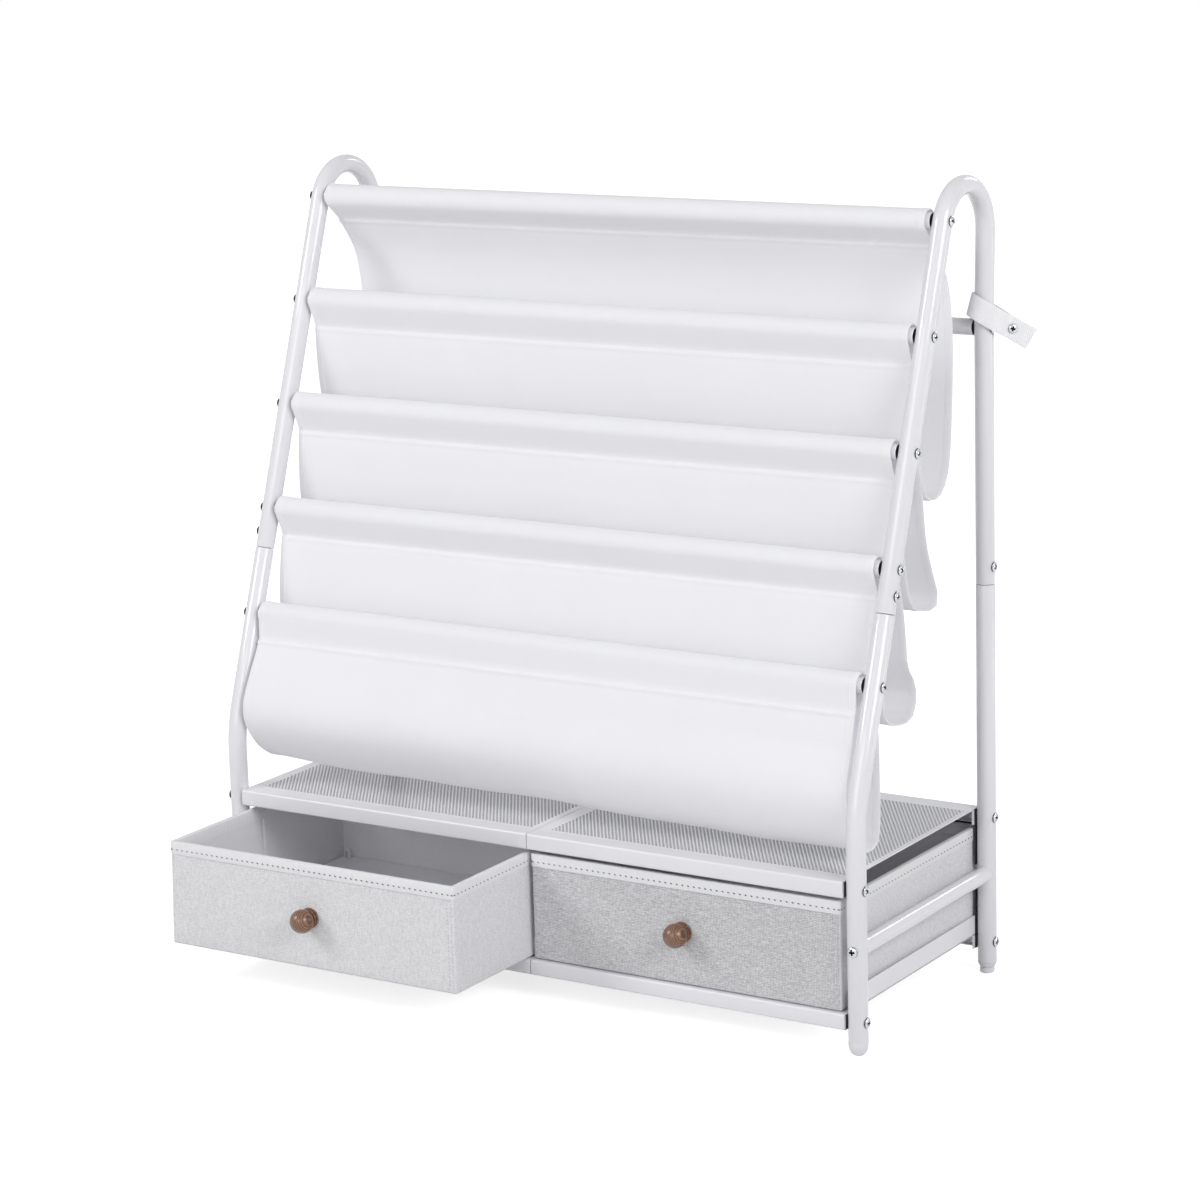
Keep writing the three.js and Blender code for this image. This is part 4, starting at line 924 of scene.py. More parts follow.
# %% Columns, and how far each row is from a seam
HEM_WIDTH = 8.0
RIDGE, FRONT_RIDGE, RIDGE_BELOW, RIDGE_HALF = 0.8, 1.8, 3.0, 1.7
inner = np.linspace(-CLOTH_HALF + HEM_WIDTH + 2, CLOTH_HALF - HEM_WIDTH - 2, 100)
edge = CLOTH_HALF - np.array([0, 0.4, 1.2, 4, HEM_WIDTH - 0.8, HEM_WIDTH, HEM_WIDTH + 0.8])
columns = np.concatenate([-edge, inner, edge[::-1]])
in_pocket = np.zeros(len(rows))
for i in range(len(POCKETS)):
    inside = kind == i
    in_pocket[inside] = np.sin(math.pi * np.linspace(0, 1, inside.sum())) ** 1.5
seam_distance = np.min([np.abs(along - along[i]) for i in [*seam_rows, front_seam]], axis=0)
ridge = np.zeros(len(rows))
for i in seam_rows[:4]:
    ridge -= RIDGE * np.exp(-((along - along[i] - RIDGE_BELOW) / RIDGE_HALF) ** 2)
ridge += FRONT_RIDGE * np.exp(-((along[front_seam] - RIDGE_BELOW - along) / RIDGE_HALF) ** 2)
print("columns:", len(columns), "seams:", len(seam_rows) + 1)

# %% Sway and puckers
SWAY, SWAY_LENGTH = 1.5, 430
SMALL_SWAY, SMALL_SWAY_LENGTH = 0.9, 187
PUCKER, PUCKER_LENGTH, PUCKER_FADE = 0.30, 19, 14
rng = np.random.default_rng(11)
normals = normals_of(rows)
phase = 1.7 * np.maximum(kind, 0)[:, None]
x = columns[None, :]
sway = SWAY * np.sin(2 * math.pi * x / SWAY_LENGTH + phase)
sway = sway + SMALL_SWAY * np.sin(2 * math.pi * x / SMALL_SWAY_LENGTH + 2.3 * phase + along[:, None] / 90)
jitter = np.interp(columns, np.linspace(-400, 400, 60), rng.uniform(-2.5, 2.5, 60))
fade = np.exp(-seam_distance[:, None] / PUCKER_FADE)
pucker = PUCKER * np.sin(2 * math.pi * x / PUCKER_LENGTH + jitter) * fade
shift = in_pocket[:, None] * sway + pucker * (kind >= 0)[:, None] + ridge[:, None]
y, z = (rows[:, k:k + 1] + shift * normals[:, k:k + 1] for k in (0, 1))

# %% The front pocket's ease, and the loose casings
EASE, LIFT = 0.30, 0.075
EASE_OVER = 40
LOOSE = 2.2
share_x = x / (2 * CLOTH_HALF) + 0.5
ease_in = np.clip((along[front_seam] - along)[:, None] / EASE_OVER, 0, 1) * (kind == FRONT_POCKET)[:, None]
forward, below = rods[4][0] - y, rods[4][1] - z
y = y + ease_in * EASE * share_x * np.where((forward > 0) & (below > 0), forward, 0)
z = z + ease_in * LIFT * (1 - share_x) * np.where(below > 0, below, 0)
rod_of_row = np.argmin([np.linalg.norm(rows - rod, axis=1) for rod in rods], axis=0)
over = rows[:, 1] - np.array(rods)[rod_of_row, 1]
above = (kind < 0) * np.clip(0.5 + over / (2 * LOOP_RADIUS), 0, 1)
z = z + LOOSE * (1 - share_x) * above[:, None]
middle = np.stack([np.broadcast_to(x, y.shape), y, z], -1)

# %% Both faces of the cloth
HEM_EXTRA = 0.35
facing = unit(np.cross(np.gradient(middle, axis=1), np.gradient(middle, axis=0)))
from_edge = CLOTH_HALF - np.abs(columns)
hem = np.clip((HEM_WIDTH + 0.8 - from_edge) / 1.6, 0, 1) * np.clip(from_edge / 1.2, 0, 1)
half = (CLOTH / 2 + HEM_EXTRA * hem)[None, :, None]
flat = both_faces_map(x, along[:, None])
sling = new_piece("sling_cloth", *two_faced(middle + half * facing, middle - half * facing), "frame",
                  canvas, "sling_canvas", [f"sling_pocket_{i + 1}" for i in range(4)], sharp=60,
                  flat_map=flat)

# %% [markdown]
# ## Stitches
# A row of stitches is many short lengths of thread, each sunk halfway into the cloth and rounded at its
# ends. One function makes a whole row from its places and directions.

# %% Rows of stitches
STITCH, STITCH_PITCH = 3.0, 4.2


def stitched(places, alongs, outs, length=STITCH, width=0.75, rise=0.32):
    """Threads at places; each lies along one direction and stands a little out of the cloth."""
    angles = np.arange(6) * math.pi / 3
    ends = [(-0.5, 0.35), (-0.36, 1.0), (0.36, 1.0), (0.5, 0.35)]
    base = np.array([(t * length, s * width / 2 * math.cos(a), s * rise * math.sin(a))
                     for t, s in ends for a in angles])
    caps = [[5, 4, 3, 2, 1, 0], [18, 19, 20, 21, 22, 23]]
    body = grid_faces(4, 6, close_columns=True).tolist() + caps
    places, alongs, outs = np.broadcast_arrays(places, unit(alongs), outs)
    sides = unit(np.cross(outs, alongs))
    outs = np.cross(alongs, sides)
    points = (places[:, None] + base[None, :, :1] * alongs[:, None] + base[None, :, 1:2] * sides[:, None]
              + base[None, :, 2:] * outs[:, None])
    faces = [[i + k * len(base) for i in face] for k in range(len(places)) for face in body]
    return points.reshape(-1, 3), faces


def along_columns(row, xs, side):
    """Places and facings on one face of the cloth at a row."""
    out = side * between(xs, columns, facing[row])
    return between(xs, columns, middle[row]) + out * np.interp(xs, columns, half[0, :, 0])[:, None], out


# %% Seams across the sling
seam_parts = []
xs = np.arange(-CLOTH_HALF + 4, CLOTH_HALF - 3, STITCH_PITCH)
for row in [*seam_rows, front_seam]:
    for side in (1, -1):
        places, outs = along_columns(row, xs, side)
        in_sight = outs[:, 1].mean() < 0
        if in_sight == (row != seam_rows[4]):
            seam_parts.append(stitched(places, [1, 0, 0], outs))
new_piece("sling_seam_stitches", *merged(seam_parts), "frame", thread, "sling_canvas", weld=False)

# %% Seams down its two hems
HEM_SEAM = CLOTH_HALF - HEM_WIDTH + 1.6
hem_parts = []
for x_hem in (-HEM_SEAM, HEM_SEAM):
    column = int(np.argmin(np.abs(columns - x_hem)))
    for side in (1, -1):
        face = middle[:, column] + side * half[0, column] * facing[:, column]
        length = lengths_along(face)
        at = np.arange(6, length[-1] - 6, STITCH_PITCH)
        place = between(at, length, face)
        ahead = between(at + 1, length, face) - place
        out = side * between(at, length, facing[:, column])
        hem_parts.append(stitched(place, ahead, out, width=0.6, rise=0.22))
new_piece("sling_hem_stitches", *merged(hem_parts), "frame", thread, "sling_canvas", weld=False)

# %% [markdown]
# ## Linen and lining
# The drawers are covered with polyester linen: uneven yarns both ways, a darker one here and there, which
# the eye reads as a fine grey cross-hatch. Each yarn direction is a noise that is stretched along the yarn,
# over an even weave. The real yarns are 0.8 mm apart, too fine for the render, so they are drawn at more
# than twice that. The front of the right drawer gets a greyer, more contrasty copy of the same cloth: this
# is painted shade. The lining is non-woven felt, flat and grey, and the binding is a smooth white ribbon.

# %% Linen, felt and ribbon
SLUB_MM = 0.6
SLUB_RUN_MM = 5.0
YARN_MM = 1.9
CLOUD_SHARE = 0.12


def slubbed(name, colour, shade, contrast, relief=0.25, weave=0.0):
    """Cloth with uneven yarns: level ones change with height, and upright ones along the wall."""
    material, tree, shader = new_material(name, colour, 0.92,
                                          [("Sheen Weight", 0.1), ("Specular IOR Level", 0.2)])
    place = add_node(tree, "TexCoord").outputs["Object"]
    fine, long = 1 / (SLUB_MM * MM), 1 / (SLUB_RUN_MM * MM)
    yarns = []
    for scale in ((long, long, fine), (fine, fine, long)):
        stretched = add_node(tree, "Mapping", {"Vector": place, "Scale": scale})
        yarns.append(add_node(tree, "TexNoise", {"Vector": stretched, "Scale": 1.0, "Detail": 2.0}))
    cross = add_node(tree, "Math", {0: yarns[0], 1: yarns[1]}, operation="ADD")
    axes = add_node(tree, "SeparateXYZ", {0: place})
    level_way = add_node(tree, "Math", {0: axes.outputs[0], 1: axes.outputs[1]}, operation="ADD")
    waves = thread_waves(tree, (level_way, axes.outputs[2]), YARN_MM)
    both_ways = add_node(tree, "Math", {0: waves[0], 1: waves[1]}, operation="ADD")
    yarned = add_node(tree, "Math", {0: both_ways, 1: weave, 2: cross}, operation="MULTIPLY_ADD")
    spread = add_node(tree, "Math", {0: yarned, 1: contrast / 2, 2: 0.5 - contrast / 2},
                      operation="MULTIPLY_ADD")
    clouds = add_node(tree, "TexNoise", {"Vector": place, "Scale": 9.0, "Detail": 3.0})
    tone = add_node(tree, "Mix", {0: CLOUD_SHARE, 2: spread, 3: clouds}, data_type="FLOAT")
    tone_and_relief(tree, shader, tone, (shade, colour), cross, relief, 0.3)
    return material


linen = slubbed("slubbed_polyester_linen", "#EBEBED", "#C8C8CC", 3.6, weave=0.07)
# Painted shade: a greyer, more contrasty copy of the linen for the right drawer's front alone.
linen_painted_shade = slubbed("slubbed_polyester_linen_greyer_length", "#E0E0E2", "#A2A2A6", 4.4, weave=0.10)
lining_felt = slubbed("non_woven_lining", "#E6E6E9", "#D2D2D6", 1.6, 0.15)
base_felt = slubbed("non_woven_base_cloth", "#EEEEF1", "#DCDCE0", 1.6, 0.15)

# %% Ribbon and threads of the drawers
ribbon, tree, shader = new_material("woven_polyester_ribbon", "#E2E2E5", 0.75)
place = add_node(tree, "TexCoord").outputs["Object"]
rib = add_node(tree, "TexWave", {"Vector": place, "Scale": 260.0, "Distortion": 1.0}, bands_direction="Z")
rib = rib.outputs["Fac"]
tone_and_relief(tree, shader, rib, ("#D8D8DB", "#E9E9EC"), rib, 0.2, 0.2)
# The needle holes are dark grey marks on the band: painted shade for the shade inside each hole.
needle_holes = grained("needle_holes_in_the_band", "#4E4E52", 0.8, 700.0, 0.3, 0.1)
grey_thread = grained("grey_sewing_thread", "#B8B8BC", 0.8, 700.0, 0.3, 0.1)

# %% [markdown]
# ## Turned wood
# The knobs are beech stained brown, turned and waxed. The grain runs slantwise across the ball, with narrow
# dark streaks. It is a band pattern bent by noise, over a much finer one for the pores.

# %% Wood
GRAIN_MM = 3.4
wood, tree, shader = new_material("turned_stained_beech", "#A97C58", 0.34,
                                  [("Coat Weight", 0.3), ("Coat Roughness", 0.15)])
place = add_node(tree, "TexCoord").outputs["Object"]
slant = add_node(tree, "Mapping", {"Vector": place, "Rotation": (0.0, 0.35, 0.15)})
bands = add_node(tree, "TexWave", {"Vector": slant, "Scale": 1 / (GRAIN_MM * MM) / 2, "Distortion": 3.0,
                                  "Detail": 3.0, "Detail Scale": 1.6})
pores = add_node(tree, "TexNoise", {"Vector": slant, "Scale": 900.0, "Detail": 4.0})
streak = add_node(tree, "Math", {0: bands.outputs["Fac"], 1: 0.7}, operation="POWER")
tone = add_node(tree, "Mix", {0: 0.25, 2: streak, 3: pores}, data_type="FLOAT")
tone_and_relief(tree, shader, tone, ("#361E14", "#92664A"), pores, 0.15, 0.1)

# %% [markdown]
# ## Drawers
# A drawer is a folding fabric box. Its walls are boards sewn between linen and lining, so they are flat but
# soft at the edges. Every ring of points goes once round the box, and a list of insets and heights makes
# each layer from such rings: the linen, the lining, and the binding folded over the rim.

# %% Rings round a drawer
DRAWER_DEPTH = FRAME_DEPTH + 15.2
DRAWER_WIDTH = 395.4
DRAWER_X = 200.45
DRAWER_TOP, DRAWER_FLOOR = 171.2, TRAY_TOP + 1.5
FACE_Y = LIP_Y + 5
PULL = 148.0
CORNER, CORNER_STEPS = 2.6, 7
LINEN, LINING, BINDING, PLAY = 1.0, 3.2, 0.8, 0.3
BAND = 14.5
INSIDE = LINEN + PLAY + LINING
WALL_TOP = DRAWER_TOP - BINDING - PLAY
INSIDE_FLOOR = 65.0
RING_STEP = 1.85


def ring_round(inset, step=RING_STEP):
    """Points once round the drawer, and their outward directions, starting at the front left corner."""
    half_x, half_y = DRAWER_WIDTH / 2 - inset, DRAWER_DEPTH / 2 - inset
    radius = max(CORNER - inset, 0.4)
    counts = [max(2, round(2 * h / step)) for h in (DRAWER_WIDTH / 2, DRAWER_DEPTH / 2)] * 2
    centres = np.array([(-1, -1), (1, -1), (1, 1), (-1, 1)]) * [half_x - radius, half_y - radius]
    points, outs = [], []
    for k, count in enumerate(counts):
        start, end = centres[k], centres[(k + 1) % 4]
        heading = k * math.pi / 2
        out = np.array([math.sin(heading), -math.cos(heading)])
        for t in np.linspace(0, 1, count, endpoint=False):
            points.append(start + t * (end - start) + radius * out)
            outs.append(out)
        for a in np.linspace(heading, heading + math.pi / 2, CORNER_STEPS, endpoint=False):
            out = np.array([math.sin(a), -math.cos(a)])
            points.append(end + radius * out)
            outs.append(out)
    return np.array(points), np.array(outs)


def box_layer(section, soft=None, capped=True, step=RING_STEP):
    """A layer from (inset, height) pairs; soft moves its points, capped closes the first and last ring."""
    rings = []
    for inset, height in section:
        flat_ring, outs = ring_round(inset, step)
        ring = at_height(flat_ring, height)
        if soft is not None:
            ring = soft(ring, at_height(outs, 0), inset)
        rings.append(ring)
    n = len(rings[0])
    faces = grid_faces(len(rings), n, close_rows=not capped, close_columns=True).tolist()
    if capped:
        faces += [list(range(n))[::-1], [(len(rings) - 1) * n + i for i in range(n)]]
    return np.concatenate(rings), faces


# %% Softness of the walls
OUTER_STEPS = np.linspace(0, 1, 12)
BULGE, CORNER_REACH = 0.7, 40
OUTER_WAVES, INNER_WAVES, INNER_SWELL = (61, 47), (37, 29), 0.3
FLARE_OUT = 5.1
BOW = 3.0
HINGE_GROOVE, HINGE_WIDTH, HINGE_LEAN = 2.4, 1.3, 2.0


def bowed(points, name):
    """The right drawer's outer wall stands out a little towards the back, as in the photograph."""
    share_back = np.clip(points[:, 1] / DRAWER_DEPTH + 0.5, 0, 1)
    share_side = np.clip(points[:, 0] / (DRAWER_WIDTH / 2), 0, 1)
    return points + np.outer((BOW if name == "right" else 0) * share_back ** 2 * share_side, [1, 0, 0])


def share_up(height, floor):
    return np.clip((height - floor) / (WALL_TOP - floor), 0, 1)


def soft_outside(ring, outs, inset):
    """The linen bulges a little where no corner holds it."""
    x, y, z = ring.T
    rise = share_up(z, DRAWER_FLOOR)
    free = sum(np.clip((size / 2 - np.abs(at)) / CORNER_REACH, 0, 1)
               for size, at in ((DRAWER_WIDTH, x), (DRAWER_DEPTH, y)))
    wave = 0.5 + 0.5 * np.sin(x / OUTER_WAVES[0] + y / OUTER_WAVES[1] + 0.6)
    return ring + outs * (BULGE * np.clip(free - 0.9, 0, 1) * np.sin(math.pi * rise) * wave)[:, None]


def flared_outside(ring, outs, inset):
    """The left drawer's front left corner also flares at its foot."""
    x, y, z = ring.T
    rise = share_up(z, DRAWER_FLOOR)
    near = np.clip(-x / (DRAWER_WIDTH / 2) - 0.9, 0, 0.1) * 10 * np.clip(0.5 - y / DRAWER_DEPTH, 0, 1)
    return soft_outside(ring, outs, inset) - np.outer(FLARE_OUT * near * (1 - rise), [1, 0, 0])


def soft_inside(ring, outs, inset):
    """The lining leans in over the boards, with a groove where the side walls fold."""
    x, y, z = ring.T
    if inset < INSIDE - 0.01 or inset > INSIDE + 0.5:
        return ring
    rise = share_up(z, INSIDE_FLOOR)
    at_side = np.abs(outs[:, 0]) > 0.9
    groove = np.exp(-(y / HINGE_WIDTH) ** 2) * at_side * (rise > 0.03)
    lean = np.clip(1 - np.abs(y) / (DRAWER_DEPTH / 2 - 20), 0, 1) * at_side * np.sin(math.pi * rise)
    wave = INNER_SWELL * np.sin(x / INNER_WAVES[0] + y / INNER_WAVES[1]) * np.sin(math.pi * rise)
    return ring - outs * (HINGE_LEAN * lean + wave - HINGE_GROOVE * groove)[:, None] * [1, 1, 0]


# %% Linen, lining and binding
NEEDLE_PITCH, NEEDLE_DROP = 7.4, 9.1
SCALLOP = 0.16


def linen_layer(name):
    section = [(12, DRAWER_FLOOR + 0.25), (2.5, DRAWER_FLOOR), (1.0, DRAWER_FLOOR + 0.4),
               (0.25, DRAWER_FLOOR + 1.4)]
    section += [(0, DRAWER_FLOOR + 3 + t * (WALL_TOP - DRAWER_FLOOR - 3)) for t in OUTER_STEPS]
    section += [(LINEN, WALL_TOP), (LINEN, DRAWER_FLOOR + LINEN)]
    return box_layer(section, flared_outside if name == "left" else soft_outside, step=5.0)


def lining_layer():
    section = [(LINEN + PLAY, DRAWER_FLOOR + LINEN + PLAY), (LINEN + PLAY, WALL_TOP), (INSIDE, WALL_TOP)]
    start = INSIDE_FLOOR + 1.2
    section += [(INSIDE, start + t * (WALL_TOP - start)) for t in OUTER_STEPS[::-1]]
    section += [(INSIDE + 0.35, INSIDE_FLOOR + 0.35), (INSIDE + 1.2, INSIDE_FLOOR)]
    return box_layer(section, soft_inside, step=1.4)


def scalloped(ring, outs, inset):
    """The binding is drawn in at every stitch."""
    if -PLAY - 0.01 < inset < INSIDE + PLAY + 0.01:
        return ring
    way = 1 if inset < 2 else -1
    dip = SCALLOP * np.cos(2 * math.pi * lengths_along(ring[:, :2]) / NEEDLE_PITCH)
    return ring + outs * (way * dip)[:, None]


def binding_layer():
    low, high = DRAWER_TOP - BAND, DRAWER_TOP
    out, far = -PLAY - BINDING, INSIDE + PLAY + BINDING
    edge = [(0, low), (-0.05, low + 5), (0, high - 1.0), (0.35, high - 0.3), (1.1, high)]
    section = [(out + d, height) for d, height in edge]
    section += [(far - d, height) for d, height in reversed(edge)]
    section += [(INSIDE + PLAY, low), (INSIDE + PLAY, high - BINDING)]
    section += [(-PLAY, high - BINDING), (-PLAY, low)]
    return box_layer(section, scalloped, capped=False)


def cover_drawer(name, body, move):
    """The three layers of cloth; the right drawer's front gets the greyer linen, which is painted shade."""
    for layer, look, material, slot, node, sharp in (
            (linen_layer(name), "linen", linen, "drawer_linen", "shell", 50),
            (lining_layer(), "felt", lining_felt, "drawer_lining", "lining", 50),
            (binding_layer(), "band", ribbon, "rim_binding", "rim_binding", 60)):
        points, faces = layer
        piece = new_piece(f"{body}_{look}", bowed(points, name) + move, faces, body, material, slot,
                          [f"{body}_{node}"], sharp=sharp)
        # The right drawer's front faces get the painted shade.
        if name == "right" and look == "linen":
            piece.data.materials.append(linen_painted_shade)
            front_limit = to_row([[0, FACE_Y + 3, 0]])[0][1]
            for polygon in piece.data.polygons:
                polygon.material_index = int(polygon.normal.y < -0.9 and polygon.center.y < front_limit)


# %% Needle holes and corner seams
SEAM_IN = (3.5, 8.5)
SEAM_PITCH = 4.4


def stitch_drawer(name, body, move):
    ring, outs = (found[::4] for found in ring_round(-PLAY - BINDING, NEEDLE_PITCH / 4))
    flat_out = at_height(outs, 0)
    heads = at_height(ring, DRAWER_TOP - NEEDLE_DROP)
    runs = np.column_stack([-outs[:, 1], outs[:, 0], np.full(len(outs), -0.35)])
    needle = stitched(bowed(heads, name) + move + 0.12 * flat_out, runs, flat_out, length=2.6, width=1.3,
                      rise=0.18)
    new_piece(f"{body}_needle_holes", *needle, body, needle_holes, "rim_binding", weld=False)

    heights = np.arange(DRAWER_FLOOR + 6, DRAWER_TOP - BAND - 2, SEAM_PITCH)
    front_seams = []
    for inset in SEAM_IN:
        places = heights[:, None] * [0, 0, 1] + [DRAWER_WIDTH / 2 - inset, -DRAWER_DEPTH / 2 - 0.05, 0]
        front_seams.append(stitched(places + move, [0, 0, 1], [0, -1, 0], length=2.6, width=0.7, rise=0.3))
    new_piece(f"{body}_corner_stitches", *merged(front_seams), body, grey_thread, "drawer_linen",
              weld=False)


# %% Base board with its pull
TAB_HALF = 2.5


def lay_base(body, move):
    low = INSIDE_FLOOR + 0.3
    board = [(INSIDE + 6, low), (INSIDE + 1.8, low), (INSIDE + 1.5, low + 0.5), (INSIDE + 1.5, low + 2.0),
             (INSIDE + 1.9, low + 2.5), (INSIDE + 8, low + 2.55)]
    tab_x, tab_y = -DRAWER_WIDTH / 2 + INSIDE + 9, DRAWER_DEPTH / 2 - INSIDE - 9
    t = np.linspace(0, math.pi, 13)
    loop = np.column_stack([tab_x + 3.2 - 3.4 * np.cos(t), INSIDE_FLOOR + 2.4 + 11.5 * np.sin(t) ** 0.7])
    outline = band_outline(loop, 1.0)
    pull = between_ends(*(at_height(outline, tab_y + d)[:, [0, 2, 1]] for d in (-TAB_HALF, TAB_HALF)))
    points, faces = merged([box_layer(board, step=6.0), pull])
    new_piece(f"{body}_base", points + move, faces, body, base_felt, "base_cloth", [f"{body}_base_board"],
              sharp=50)


# %% Knob and its screw
KNOB_HEIGHT = 108.0
KNOB_LENGTH, BALL_RADIUS = 29.8, 13.7
ball_centre = KNOB_LENGTH - BALL_RADIUS
knob_profile = [(0, 0), (11.3, 0), (11.9, 0.5), (11.9, 2.2), (11.4, 2.7), (9.0, 2.9), (9.0, 3.5),
                (10.9, 3.8), (11.3, 4.3), (11.3, 5.6), (10.8, 6.1), (8.4, 6.3), (8.2, 6.9)]
knob_profile += [(BALL_RADIUS * math.sin(a), ball_centre + BALL_RADIUS * math.cos(a))
                 for a in np.linspace(math.radians(131), 0, 26)]
COLLAR = 0.9
collar_profile = [(0, -COLLAR), (5.6, -COLLAR), (6, -0.6), (6, -0.1), (5.8, 0), (0, 0)]


def fit_knob(body, move):
    points, faces = turned(knob_profile, 64)
    seat = np.array([0, -DRAWER_DEPTH / 2 - 0.3, KNOB_HEIGHT]) + move
    new_piece(f"{body}_turned_knob", aimed(points, (0, -1, 0), seat), faces, body, wood, "knob_wood",
              [f"{body}_knob"], sharp=40)
    # The fastener's head carries the map of painted shade; its collar has none.
    *head, painted_shade_marks = screw_part(4.0, 2.6, 1.9, 3)
    collar = turned(collar_profile, SCREW_SIDES)
    painted_shade_marks = np.concatenate([painted_shade_marks, np.zeros((len(collar[0]), 2))])
    points, faces = merged([head, collar])
    seat = np.array([0, -DRAWER_DEPTH / 2 + INSIDE + PLAY + COLLAR, KNOB_HEIGHT]) + move
    new_piece(f"{body}_knob_fastener", aimed(points, (0, 1, 0), seat), faces, body, zinc, "zinc_screw",
              [f"{body}_knob_screw"], sharp=28, flat_map=painted_shade_marks)


# %% Both drawers, the left one pulled out
for name, side, pull in (("left", -1, PULL), ("right", 1, 0.0)):
    body, move = f"drawer_{name}", np.array([side * DRAWER_X, FACE_Y - pull + DRAWER_DEPTH / 2, 0])
    cover_drawer(name, body, move)
    stitch_drawer(name, body, move)
    lay_base(body, move)
    fit_knob(body, move)

# %% [markdown]
# ## The wall strap
# Polyester webbing, doubled and screwed to itself, hangs round the right rear leg. Its path is drawn flat
# first, like the strap laid on its edge, and then stood up with its edges half turned to upright where it
# goes round the leg. Webbing has a raised herringbone about 3 mm wide.

# %% Webbing
RIB_MM, HERRINGBONE_MM = 2.6, 3.1
webbing, tree, shader = new_material("woven_polyester_webbing", "#E9E9ED", 0.7, [("Sheen Weight", 0.2)])
place = add_node(tree, "UVMap", uv_map=SURFACE_MAP).outputs[0]
axes = add_node(tree, "SeparateXYZ", {0: place})
rise = add_node(tree, "Math", {0: axes.outputs[1], 1: HERRINGBONE_MM * MM}, operation="PINGPONG")
lean = add_node(tree, "Math", {0: axes.outputs[0], 1: rise}, operation="ADD")
ribs = thread_waves(tree, [lean], RIB_MM)[0]
yarn = add_node(tree, "TexNoise", {"Vector": place, "Scale": 700.0})
tone = add_node(tree, "Math", {0: ribs, 1: 0.35, 2: yarn}, operation="MULTIPLY_ADD")
tone_and_relief(tree, shader, tone, ("#E2E2E8", "#FFFFFF"), tone, 0.6, 0.4)

# %% Path of the strap
WEBBING, WEBBING_WIDTH = 1.7, 25.0
STRAP_RISE = 17.5
TURN, DROOP = math.radians(32.7), math.radians(31.5)
LOOP_HALF, STRAIGHT, BACK = 13.4, 17.0, 4.2
TAIL_START, TAIL_END = 31.0, 61.0
ahead = np.array([math.cos(TURN) * math.cos(DROOP), math.sin(TURN) * math.cos(DROOP), -math.sin(DROOP)])
aside = np.array([-math.sin(TURN), math.cos(TURN), 0])
strap_basis = np.array([ahead, aside, np.cross(ahead, aside)])


def strap_place(points):
    """From the strap laid flat on its edge to its place at the leg."""
    return np.asarray(points, float) @ strap_basis + behind(REAR_ROD_HEIGHT + STRAP_RISE) + [LEG_X, 0, 0]


mid = LOOP_HALF + WEBBING / 2
near = WEBBING / 2 + 0.1
bend = [(-BACK - mid * math.sin(a), mid * math.cos(a)) for a in np.linspace(0, math.pi, 25)]
side_path = through([(TAIL_END, near), (50, near), (40, near), (TAIL_START, near + 0.5),
                     (STRAIGHT + 4, mid - 4.6), (STRAIGHT - 5, mid - 0.4), (5, mid), bend[0]], 46)
path = np.concatenate([side_path, np.array(bend[1:-1]), (side_path * [1, -1])[::-1]])
run_length = lengths_along(path)
print("strap:", round(run_length[-1]), "mm of webbing")

# %% Strap and its screw
EDGE_START, EDGE_ROUND, EDGE_DEPTH = 0.93, 0.07, 0.55
EDGE_TILT = 0.5
widths = np.linspace(-1, 1, 13)
heights = widths * WEBBING_WIDTH / 2
past_edge = (np.abs(widths) - EDGE_START).clip(0) / EDGE_ROUND
pinch = np.sqrt(np.clip(1 - past_edge ** 2 * EDGE_DEPTH, 0.3, 1))
outward = normals_of(path) * WEBBING / 2
strap = np.empty((2, len(path), len(widths), 3))
strap[..., 2] = heights
for face, sign in zip(strap, (1, -1)):
    face[..., :2] = path[:, None] + sign * outward[:, None] * pinch[None, :, None]
lean_share = np.clip((TAIL_END - strap[..., 0]) / (TAIL_END - TAIL_START), 0, 1)
strap[..., 0] -= strap[..., 2] * math.tan(DROOP) * EDGE_TILT * lean_share
points, faces = two_faced(*strap)
new_piece("strap_webbing_loop", strap_place(points), faces, "frame", webbing, "strap_webbing",
          ["webbing_strap"], sharp=70, flat_map=both_faces_map(run_length[:, None], heights))
strap_seat = strap_place([[37.0, -near - WEBBING / 2 - 0.2, 0]])[0]
place_screw("strap_zinc_screw", strap_seat, -aside, ["strap_screw"], turn=0.35, length=25, radius=5.2,
            height=2.3, shank=1.9)

# %% [markdown]
# ## Floor, light and camera
# The floor is plain white. It keeps the shelf's soft shadow, and a little light of its own that only the
# camera sees lifts it to the white of the background. One large lamp near the camera keeps the cloth bright
# and even, one on the right lights the side, and a smaller one high on the left gives the knobs their
# shadow. Two narrow lamps behind draw the thin bright lines along the tubes. The camera stands where the
# straight tubes and rods of the photograph say it stood.

# %% Light that only the camera sees
FLOOR_HALF, FLOOR_DROP = 12000.0, 0.4
GLOW_NEAR, GLOW_START, GLOW_END = 0.72, 0.7, 2.2


def seen_directly(tree):
    """1 where the camera sees the surface, also reflected or through something clear, and 0 elsewhere."""
    rays = add_node(tree, "LightPath").outputs
    seen = add_node(tree, "Math", {0: rays["Is Camera Ray"], 1: rays["Is Glossy Ray"]}, operation="MAXIMUM")
    return add_node(tree, "Math", {0: seen, 1: rays["Is Transmission Ray"]}, operation="MAXIMUM")


